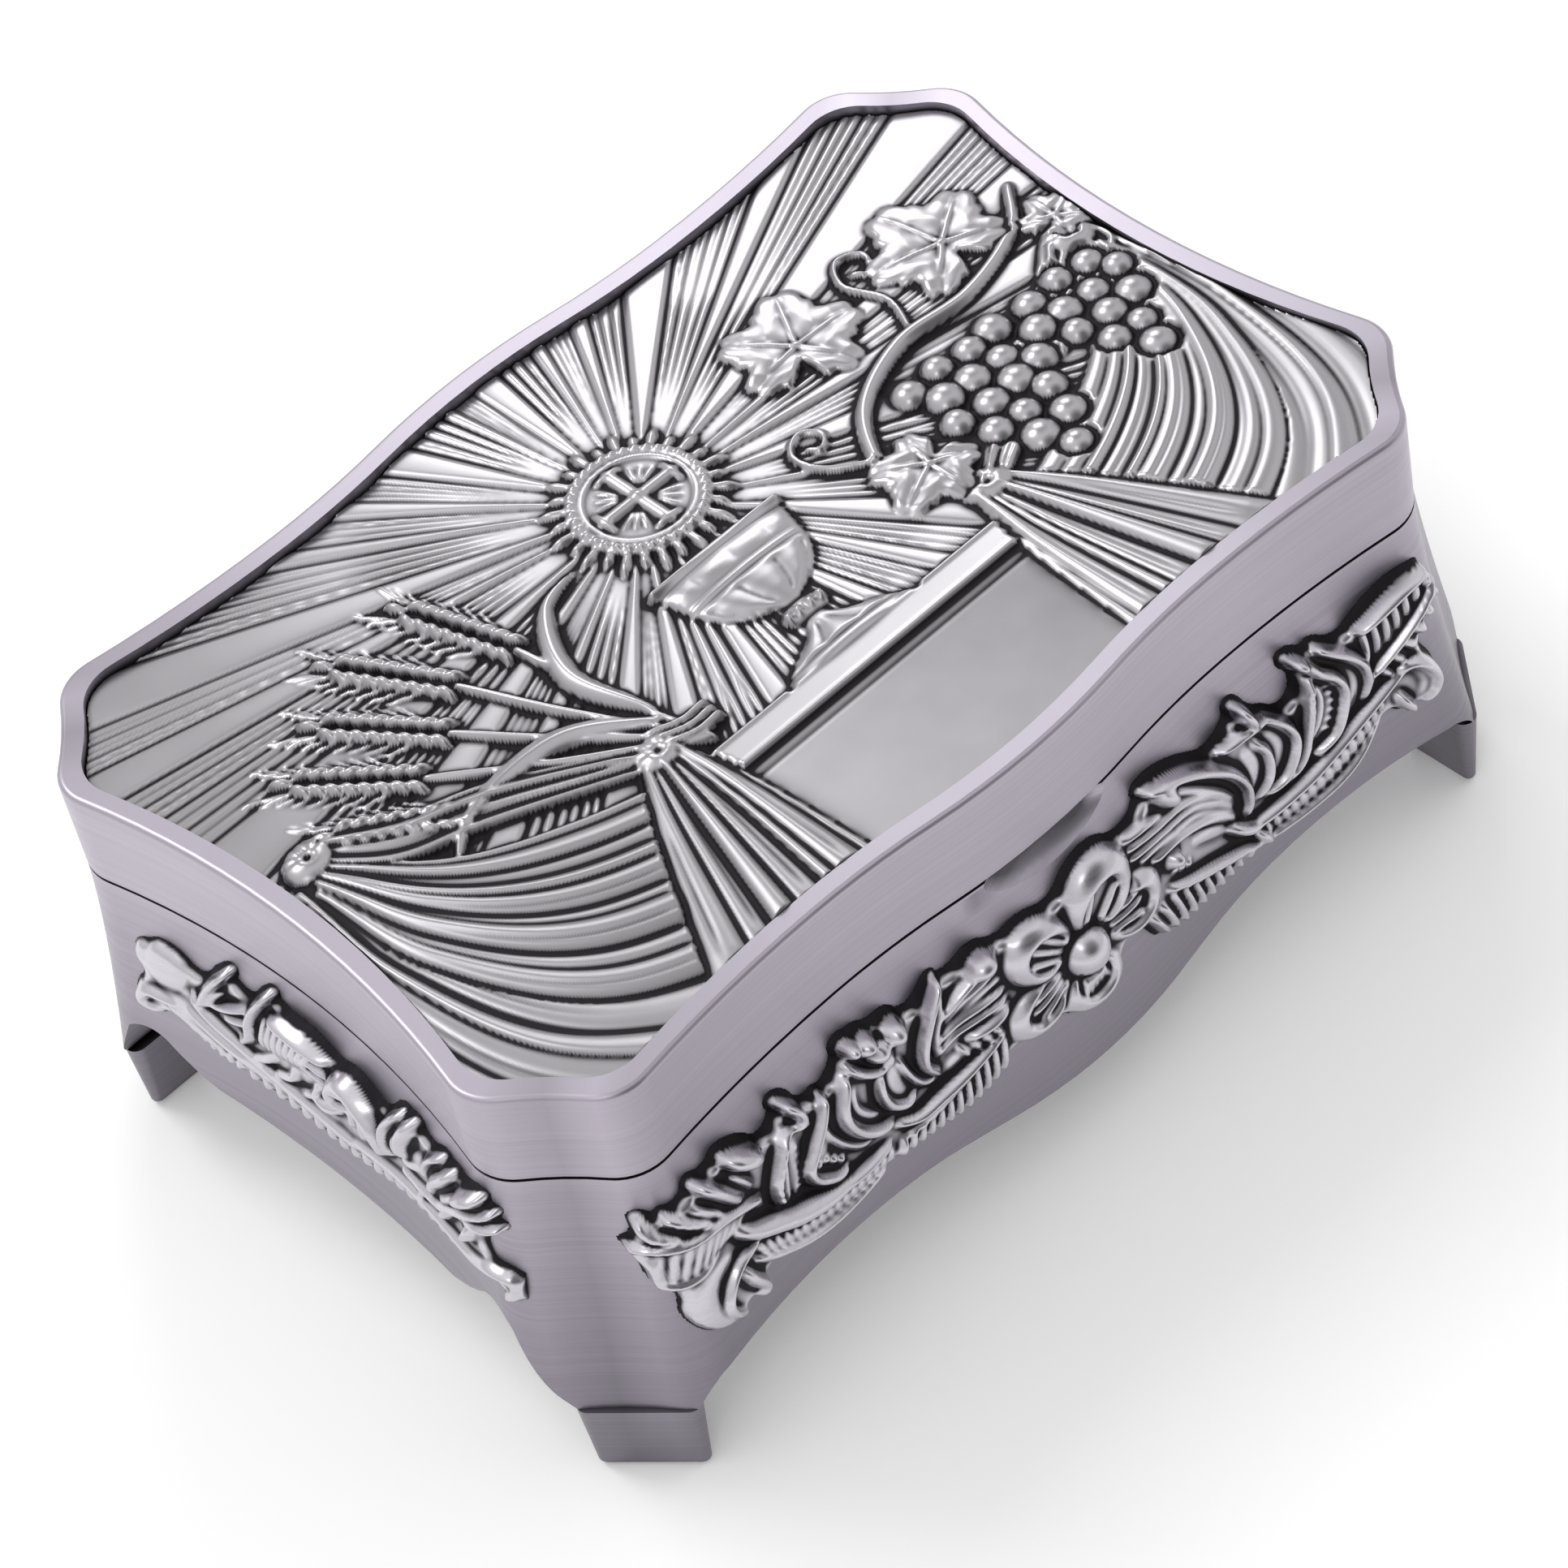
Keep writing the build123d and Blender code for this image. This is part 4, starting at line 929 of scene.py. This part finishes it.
def vine_leaf(relief, u, v, size, turn):
    """Five-lobed vine leaf with a toothed edge, swelling panels and veins."""
    reach = size * 1.05
    where = relief.window((u - reach, v - reach), (u + reach, v + reach))
    du, dv = relief.U[where] - u, relief.V[where] - v
    away = np.hypot(du, dv) / size
    angle = (np.arctan2(dv, du) - math.radians(turn) + math.pi) % (2 * math.pi) - math.pi
    lobe = np.full(angle.shape, 0.6)
    for middle, length, spread, _ in LOBES:
        gap = np.abs(angle - middle) / spread
        lobe = np.maximum(lobe, length * (1 - 0.34 * gap**1.5) * (gap < 1))
    lobe *= 0.92 + 0.08 * np.abs(np.sin(angle * 8.5))
    lobe *= 1 - 0.6 * smooth_step(np.abs(angle), 2.7, 3.1)
    across = away / np.maximum(lobe, 1e-3)
    swell = np.abs(np.sin(angle * 2.8)) ** 0.7
    body = 0.80 + 0.34 * swell * smooth_step(away, 0.05, 0.4)
    body *= np.clip(1 - across**6, 0, 1) ** 0.3
    ribs = 0.07 * np.abs(np.sin(away * 11 + np.abs(angle) * 3)) ** 0.8
    body = np.where(across < 1, body - ribs, 0)
    relief.h[where] = np.where(across < 1, np.maximum(body, 0.3), relief.h[where])
    for middle, _, _, vein in LOBES:
        tip = (u, v) + heading(math.radians(turn) + middle) * size * vein
        relief.ridge([(u, v), tip], 0.26, 1.16, 0.9, 0.25)


def grapes(relief, u, v, rows, radius):
    """Bunch of grapes in rows that hang from the first."""
    berries = []
    for j, count in enumerate(rows):
        for k in range(count):
            x = u + (k - (count - 1) / 2) * radius * 1.72 + 0.35 * math.sin(3.3 * j + k)
            y = v - j * radius * 1.55 + 0.3 * math.sin(2.1 * k + j)
            size = radius * (0.94 + 0.08 * math.sin(5 * k + 2 * j))
            where = relief.window((x - 3, y - 3), (x + 3, y + 3))
            near = np.hypot(relief.U[where] - x, relief.V[where] - y) < size * 1.12
            low = np.minimum(relief.h[where], 0.4)
            relief.h[where] = np.where(near, low, relief.h[where])
            berries.append((x, y, size, 1.5 + 0.06 * math.sin(k * 2 + j)))
    for x, y, size, height in berries:
        relief.dome(x, y, size, height, power=0.55)


# The vine's stem and tendrils, drawn like the strokes above.
STEMS = """
0.85 1.3  13,-8 14.6,-2 18.5,3.6 25.5,6.6 33,6.2 40.5,8.6 44.5,12.8
0.34 1.05  15,-1.6 11.6,1.4 11,4.4 13,5.8 14.4,4.4 13.2,3.2 12.4,4.2
0.34 1.05  27,6.6 28.6,11 27.4,15.2 29,17.8 31.2,16.8 30.2,14.8 29,15.9
0.34 1.05  41,8.6 44.4,5 45.2,1.6 43.4,0.2 42.2,1.8 43.6,2.8
"""


def vine(relief):
    """Vine stem with tendrils, leaves and two bunches."""
    stem, *tendrils = rows_of(STEMS)
    for row, tips in [(stem, (0.8, 0.5))] + [(tendril, (0.9, 0.6)) for tendril in tendrils]:
        (width, height), (line,) = row
        relief.ridge(line, width, height, *tips)
    for leaf in ((20.0, 13.2, 7.6, 62), (36.0, 12.2, 7.8, 98), (17.2, -5.2, 5.8, 205),
                 (44.0, 6.8, 4.2, 20)):
        vine_leaf(relief, *leaf)
    grapes(relief, 26.6, 1.8, (4, 3, 4, 3, 2, 1), 1.85)
    grapes(relief, 38.4, 1.2, (3, 4, 3, 2, 1), 1.8)


def lid_relief():
    """The whole lid relief: glory, host, chalice, altar, drapery, wheat and vine."""
    relief = Relief(-49.6, 49.6, -32.6, 32.6, PICTURE_STEP)
    for part in (glory, altar, drapery, wheat, vine, host, chalice):
        part(relief)
    relief.h = np.clip(blur(relief.h, 0.8), 0, PICTURE_TOP)
    return relief


# ---- velvet ------------------------------------------------------------------
VELVET_VOXEL, VELVET_ROUNDS = 0.45, 6


def velvet_copy(node, facing, crown):
    """Padded copy of a soft CAD solid: edges rounded, the open face swollen and a little uneven."""
    piece = placed(f"velvet_{node}", nodes[node].data.copy())
    remesh = piece.modifiers.new("remesh", "REMESH")
    remesh.mode = "VOXEL"
    remesh.voxel_size = VELVET_VOXEL * MM
    smooth = piece.modifiers.new("smooth", "SMOOTH")
    smooth.iterations = VELVET_ROUNDS
    depsgraph = bpy.context.evaluated_depsgraph_get()
    mesh = bpy.data.meshes.new_from_object(piece.evaluated_get(depsgraph))
    piece.modifiers.clear()
    piece.data = mesh
    mesh.materials.clear()
    mesh.shade_smooth()
    co = np.array([v.co for v in mesh.vertices])
    normal = np.array([v.normal for v in mesh.vertices])
    low, high = co.min(0), co.max(0)
    share = (co - low) / (high - low) * 2 - 1
    thin = int(np.argmin(high - low))
    others = [k for k in range(3) if k != thin]
    bulge = np.prod([1 - share[:, k] ** 4 for k in others], 0)
    p = co / MM
    uneven = (np.sin(p[:, 0] * 0.31 + p[:, 1] * 0.17) * np.sin(p[:, 1] * 0.27 - p[:, 2] * 0.4 + 1)
              + 0.5 * np.sin(p[:, 0] * 0.83 + 2) * np.sin(p[:, 1] * 0.71 + p[:, 2] * 0.9))
    swell = (crown * bulge + 0.05 * uneven) * np.clip(normal @ np.array(facing), 0, 1)
    co += normal * swell[:, None] * MM
    mesh.vertices.foreach_set("co", co.ravel())
    mesh.update()
    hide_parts(node)
    return piece


# ---- materials ---------------------------------------------------------------
# Colours, then where the walls' painted shade lies, in metres.
SILVER = (0.46, 0.447, 0.47)
WALL_SILVER = (0.495, 0.458, 0.528)
# the garlands' silver is a brighter copy of the same metal, for painted highlights
GARLAND_SILVER_BRIGHTENED = (0.62, 0.595, 0.645)
# dark colour for the patina and for the painted shade
PATINA_AND_SHADE_COLOUR = (0.028, 0.026, 0.030)
PATINA_ROUGH = (0.62, 0.62, 0.62)
LID_TOP = 0.0432
CORNER_WAY = (0.647, 0.763)
NOTCH_LOW, NOTCH_HIGH = 0.0300, 0.0334
NOTCH_FRONT, NOTCH_BACK = -0.0335, -0.0305


def new_material(name):
    """Material with its node tree and principled shader."""
    material = bpy.data.materials.new(name)
    material.use_nodes = True
    tree = material.node_tree
    return material, tree, tree.nodes["Principled BSDF"]


def fill(tree, node, values):
    """Give a node's inputs their values: sockets are linked, numbers and colours are set."""
    for name, value in values.items():
        socket = node.inputs[name]
        if isinstance(value, bpy.types.NodeSocket):
            tree.links.new(value, socket)
        else:
            plain = isinstance(value, tuple) and len(value) < len(socket.default_value)
            socket.default_value = (*value, 1) if plain else value


def maths(tree, operation, a, b=None, clamp=False):
    """Maths node; a and b are sockets or numbers."""
    node = tree.nodes.new("ShaderNodeMath")
    node.operation = operation
    node.use_clamp = clamp
    fill(tree, node, {0: a} if b is None else {0: a, 1: b})
    return node.outputs[0]


def mixed(tree, a, b, factor=1.0, blend="MULTIPLY"):
    """Colour b laid over colour a."""
    node = tree.nodes.new("ShaderNodeMix")
    node.data_type = "RGBA"
    node.blend_type = blend
    fill(tree, node, {"Factor": factor, "A": a, "B": b})
    return node.outputs["Result"]


def ramp(tree, source, stops):
    """Colour ramp fed by a socket; a stop is its place and its grey or colour."""
    node = tree.nodes.new("ShaderNodeValToRGB")
    while len(node.color_ramp.elements) < len(stops):
        node.color_ramp.elements.new(0.5)
    for element, (place, value) in zip(node.color_ramp.elements, stops):
        element.position = place
        element.color = (*value, 1) if isinstance(value, tuple) else (value, value, value, 1)
    fill(tree, node, {"Fac": source})
    return node.outputs["Color"]


def coordinates(tree):
    """The x, y and z of a place on the object, in metres."""
    place = tree.nodes.new("ShaderNodeTexCoord")
    split = tree.nodes.new("ShaderNodeSeparateXYZ")
    fill(tree, split, {"Vector": place.outputs["Object"]})
    return split.outputs[:]


def noise(tree, scale, detail=3.0, stretch=(1, 1, 1), rough=0.5):
    """Noise over the object's own metres, stretched along the axes."""
    place = tree.nodes.new("ShaderNodeTexCoord")
    mapping = tree.nodes.new("ShaderNodeMapping")
    fill(tree, mapping, {"Vector": place.outputs["Object"], "Scale": stretch})
    node = tree.nodes.new("ShaderNodeTexNoise")
    fill(tree, node, {"Vector": mapping.outputs["Vector"], "Scale": scale, "Detail": detail,
                      "Roughness": rough})
    return node.outputs["Fac"]


def occlusion_shade(tree, reach, stops):
    """Ramp over how open each place is to its surroundings, used to paint shade where little is
    open.
    """
    node = tree.nodes.new("ShaderNodeAmbientOcclusion")
    node.samples = 8
    fill(tree, node, {"Distance": reach})
    return ramp(tree, node.outputs["AO"], stops)


def bumped(tree, height, strength, distance):
    """Normal that follows a height."""
    node = tree.nodes.new("ShaderNodeBump")
    fill(tree, node, {"Height": height, "Strength": strength, "Distance": distance})
    return node.outputs["Normal"]


def painted_wall_shading(tree, tone):
    """Tone of a wall with painted shading: lighter towards the lid, darker towards the feet, and
    painted light and dark bands down the cut corners.
    """
    x, y, z = coordinates(tree)
    # painted shade: darker towards the feet
    height = ramp(tree, maths(tree, "MULTIPLY", z, 1 / LID_TOP), [
        (0.0, 0.52), (0.19, 0.56), (0.45, 0.72), (0.72, 0.88), (0.80, 1.0)])
    over = maths(tree, "MULTIPLY", maths(tree, "ABSOLUTE", x), CORNER_WAY[0])
    back = maths(tree, "MULTIPLY", maths(tree, "ABSOLUTE", y), CORNER_WAY[1])
    across = maths(tree, "MULTIPLY", maths(tree, "SUBTRACT", over, back), 25.0)
    # painted light and shade in bands down the cut corners
    corner_shade_bands = ramp(tree, maths(tree, "ADD", across, 0.25), [
        (0.0, 0.97), (0.20, 0.88), (0.30, 0.86), (0.36, 1.0), (0.40, 0.93), (0.455, 0.76),
        (0.51, 0.84), (0.57, 0.97), (0.70, 1.0)])
    return mixed(tree, mixed(tree, tone, height), corner_shade_bands)


def notch_shadow(tree, patina_and_shade):
    """Patina with a painted shadow added in the thumb notch, under the lid's edge."""
    x, y, z = coordinates(tree)
    aside = maths(tree, "ABSOLUTE", maths(tree, "ADD", x, 0.0015))
    middle = maths(tree, "SUBTRACT", 1.0, maths(tree, "MULTIPLY", aside, 130.0), True)
    middle = maths(tree, "MULTIPLY", middle, 5.0, True)
    deep = maths(tree, "MULTIPLY", maths(tree, "ADD", y, -NOTCH_FRONT), 1100.0, True)
    rise = maths(tree, "MULTIPLY", maths(tree, "SUBTRACT", z, NOTCH_LOW),
                 1 / (NOTCH_HIGH - NOTCH_LOW))
    level = ramp(tree, rise, [(0.14, 0.0), (0.50, 0.55), (0.90, 0.65), (0.985, 0.0)])
    outer = maths(tree, "LESS_THAN", y, NOTCH_BACK)
    # painted shadow of the lid's edge in the notch
    dark = maths(tree, "MULTIPLY", maths(tree, "MULTIPLY", middle, deep),
                 maths(tree, "MULTIPLY", level, outer))
    return maths(tree, "MAXIMUM", patina_and_shade, dark)


def antique_silver(name, silver, brush, rough, streak=(30, 30, 2600), painted_wall_shade=False):
    """Brushed silver plate with dark patina left in its recesses, and painted shade on steep
    flanks, in closed-in places and, for the walls, by height, in the cut corners and in the thumb
    notch.
    """
    material, tree, shader = new_material(name)
    carved = tree.nodes.new("ShaderNodeAttribute")
    carved.attribute_name = "patina_and_shade"
    # painted shade where places are closed in, also standing for patina in the seams
    hidden_shade = occlusion_shade(tree, 0.0012, [(0.25, 1.0), (0.82, 0.0)])
    cloud = maths(tree, "SUBTRACT", noise(tree, 260, 4.0), 0.5)
    patina_and_shade = maths(tree, "ADD", maths(tree, "MAXIMUM", carved.outputs["Fac"], hidden_shade),
                   maths(tree, "MULTIPLY", cloud, 0.08), True)
    lines = noise(tree, 1.0, 4.0, streak, 0.6)
    tone = ramp(tree, lines, [(0.3, tuple(c * (1 - brush) for c in silver)), (0.7, silver)])
    # walls get painted shade: the notch's painted shadow, and the height and corner shading
    if painted_wall_shade:
        patina_and_shade, tone = notch_shadow(tree, patina_and_shade), painted_wall_shading(tree, tone)
    darkening = ramp(tree, patina_and_shade, [(0.05, 0.0), (0.75, 1.0)])
    gloss = ramp(tree, lines, [(0.3, rough + 0.07), (0.7, rough - 0.03)])
    fill(tree, shader, {"Base Color": mixed(tree, tone, PATINA_AND_SHADE_COLOUR, darkening, "MIX"),
                        "Roughness": mixed(tree, gloss, PATINA_ROUGH, darkening, "MIX"),
                        "Metallic": 1.0, "Normal": bumped(tree, lines, 0.16, 0.00004)})
    return material


def velvet_material():
    """Dark blue velvet: short pile that lies this way and that, with a pale sheen."""
    material, tree, shader = new_material("velvet")
    lie = noise(tree, 60, 3.0, rough=0.55)
    pile = noise(tree, 3800, 2.0, rough=0.7)
    both = maths(tree, "ADD", maths(tree, "MULTIPLY", lie, 0.75),
                 maths(tree, "MULTIPLY", pile, 0.25))
    colour = ramp(tree, both, [(0.35, (0.003, 0.004, 0.012)), (0.52, (0.009, 0.010, 0.032)),
                               (0.68, (0.020, 0.022, 0.065))])
    fill(tree, shader, {"Base Color": colour, "Roughness": 0.92, "Specular IOR Level": 0.2,
                        "Sheen Weight": 0.3, "Sheen Roughness": 0.32,
                        "Sheen Tint": (0.52, 0.56, 0.85),
                        "Normal": bumped(tree, pile, 0.55, 0.00018)})
    return material


def plain_metal(name, colour, rough, scale, streak, marked):
    """Turned or rolled metal: fine marks, faint stains, uneven gloss, painted shade in its
    crevices.
    """
    material, tree, shader = new_material(name)
    marks = noise(tree, scale, 4.0, streak, 0.6)
    cloud = noise(tree, 240, 3.0)
    tone = ramp(tree, marks, [(0.3, tuple(c * 0.82 for c in colour)), (0.7, colour)])
    darkening = ramp(tree, cloud, [(0.35, 0.86), (0.65, 1.0)])
    # painted shade in crevices and closed-in places
    crevice_shade = occlusion_shade(tree, 0.0008, [(0.2, 0.35), (0.75, 1.0)])
    fill(tree, shader, {"Base Color": mixed(tree, mixed(tree, tone, darkening), crevice_shade),
                        "Roughness": ramp(tree, cloud, [(0.3, rough + 0.08), (0.7, rough - 0.04)]),
                        "Metallic": 1.0, "Normal": bumped(tree, marks, marked, 0.00003)})
    return material


def board_material():
    """Pressed board: pale brown fibres lying flat, with darker specks."""
    material, tree, shader = new_material("backing_board")
    fibre = noise(tree, 1.0, 5.0, (500, 1800, 500), 0.65)
    speck = ramp(tree, noise(tree, 1500, 2.0), [(0.30, 0.45), (0.42, 1.0)])
    colour = ramp(tree, fibre, [(0.3, (0.20, 0.13, 0.075)), (0.55, (0.34, 0.235, 0.14)),
                                (0.75, (0.45, 0.33, 0.21))])
    fill(tree, shader, {"Base Color": mixed(tree, colour, speck, 0.7), "Roughness": 0.85,
                        "Normal": bumped(tree, fibre, 0.3, 0.00008)})
    return material


def dress(names, material):
    """Give CAD nodes a material."""
    for name in names:
        for entry in nodes[name].material_slots:
            entry.material = material


# ---- studio ------------------------------------------------------------------
def make_floor():
    """Plain pale floor."""
    half = 3.0
    mesh = bpy.data.meshes.new("floor")
    mesh.from_pydata([(-half, -half, 0), (half, -half, 0), (half, half, 0), (-half, half, 0)], [],
                     [(0, 1, 2, 3)])
    material, tree, shader = new_material("floor")
    fill(tree, shader, {"Base Color": (0.94, 0.94, 0.94), "Roughness": 0.9,
                        "Emission Color": (1.0, 1.0, 1.0), "Emission Strength": 0.16})
    mesh.materials.append(material)
    floor = placed("floor", mesh)


def area_light(name, place, aim, side, power):
    """Square soft light that faces a point."""
    data = bpy.data.lights.new(name, "AREA")
    data.size = side
    data.energy = power
    way = Vector(aim) - Vector(place)
    turn = way.to_track_quat("-Z", "Y").to_matrix().to_4x4()
    placed(name, data).matrix_world = Matrix.Translation(place) @ turn


def make_world(low, high, patches):
    """Studio that is brighter overhead than at the horizon, with soft dark panels.

    A panel is its direction, the angles at which it is full and gone, and the change it makes.
    """
    world = bpy.data.worlds.new("studio")
    world.use_nodes = True
    bpy.context.scene.world = world
    tree = world.node_tree
    way = tree.nodes.new("ShaderNodeTexCoord").outputs["Generated"]
    split = tree.nodes.new("ShaderNodeSeparateXYZ")
    fill(tree, split, {"Vector": way})
    level = maths(tree, "ADD", maths(tree, "MULTIPLY", split.outputs["Z"], high - low), low)
    for middle, inner, outer, change in patches:
        dot = tree.nodes.new("ShaderNodeVectorMath")
        dot.operation = "DOT_PRODUCT"
        fill(tree, dot, {0: way, 1: Vector(middle).normalized()})
        full, gone = math.cos(math.radians(inner)), math.cos(math.radians(outer))
        inward = maths(tree, "SUBTRACT", dot.outputs["Value"], gone)
        part = maths(tree, "DIVIDE", inward, full - gone, True)
        level = maths(tree, "ADD", level, maths(tree, "MULTIPLY", part, change))
        level = maths(tree, "MAXIMUM", level, 0.02)
    colour = tree.nodes.new("ShaderNodeCombineColor")
    fill(tree, colour, {"Red": level, "Green": level, "Blue": level})
    fill(tree, tree.nodes["Background"], {"Color": colour.outputs["Color"], "Strength": 1.0})


# ---- the pieces --------------------------------------------------------------
HINGE_MIDDLE, HINGE_HALF, HINGE_LOW = 21.6, 6.5, 28.4  # where the back ornament makes way, in mm
PLATE_LEVEL = 42.0  # underside of the lid's picture, in mm

wall_silver = antique_silver("wall_silver", WALL_SILVER, 0.08, 0.36, (12, 12, 5200), painted_wall_shade=True)
cast_silver = antique_silver("cast_silver", SILVER, 0.06, 0.30)
# brighter copy of the silver: painted highlight on the garlands
garland_silver_brightened = antique_silver("garland_silver_brightened", GARLAND_SILVER_BRIGHTENED, 0.06, 0.25)


def garland(side, relief, right, out):
    """One wall's ornament."""
    piece = wall_piece(f"garland_{side}", relief, right, out, relief.cavity(6.5, 1.3, 0.42))
    piece.data.materials.append(garland_silver_brightened)
    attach(piece, "base")
    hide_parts(f"ornament_{side}")


front = front_relief()
garland("front", front, (1, 0, 0), (0, -1, 0))
under_hinges = (np.abs(np.abs(front.U) - HINGE_MIDDLE) < HINGE_HALF) & (front.V > HINGE_LOW)
front.h = np.where(under_hinges, 0, front.h)
garland("back", front, (-1, 0, 0), (0, 1, 0))
side = side_relief()
garland("left", side, (0, -1, 0), (-1, 0, 0))
garland("right", side, (0, 1, 0), (1, 0, 0))

lid_picture = plate_piece("lid_picture", lid_relief(), outline_of("lid_relief_plate"), PLATE_LEVEL)
lid_picture.data.materials.append(cast_silver)
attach(lid_picture, "lid")
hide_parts("lid_relief_plate")

dress([n for n in nodes if n in ("body_casting", "lid_frame") or n.startswith("foot_")],
      wall_silver)
dress([n for n in nodes if n.startswith("hinge_")],
      plain_metal("hinge_metal", (0.56, 0.53, 0.47), 0.30, 1.0, (900, 60, 60), 0.3))
dress([n for n in nodes if n.endswith("_screws")],
      plain_metal("screw_metal", (0.62, 0.61, 0.60), 0.26, 1600, (1, 1, 1), 0.25))
dress(["floor_plate"],
      plain_metal("floor_sheet", (0.46, 0.45, 0.46), 0.38, 1.0, (40, 1500, 40), 0.35))
dress(["lid_board"], board_material())

velvet = velvet_material()
for node, body, facing, crown in (
        ("floor_pad", "base", (0, 0, 1), 0.45), ("lid_pad", "lid", (0, 0, -1), 0.45),
        ("lining_front", "base", (0, 1, 0), 0.3), ("lining_back", "base", (0, -1, 0), 0.3),
        ("lining_left", "base", (1, 0, 0), 0.3), ("lining_right", "base", (-1, 0, 0), 0.3)):
    pad = velvet_copy(node, facing, crown)
    pad.data.materials.append(velvet)
    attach(pad, body)

make_floor()
make_world(0.72, 1.06, [((0.26, 0.50, 0.83), 8, 36, -0.60), ((0.05, -0.75, 0.55), 18, 40, -0.75)])
area_light("key", (-0.16, 0.48, 0.74), (0, 0, 0.03), 0.30, 2.0)
glow = Vector((0.026, 0.026, 0.042))  # where the picture's ground mirrors the panel
area_light("panel", glow + Vector((0.44, 0.60, 0.665)) * 0.28, glow, 0.12, 0.16)
area_light("sparkle", (-0.23, -0.22, 0.40), (0, 0, 0.03), 0.09, 0.11)
bpy.context.scene.view_settings.view_transform = "Standard"
make_camera()
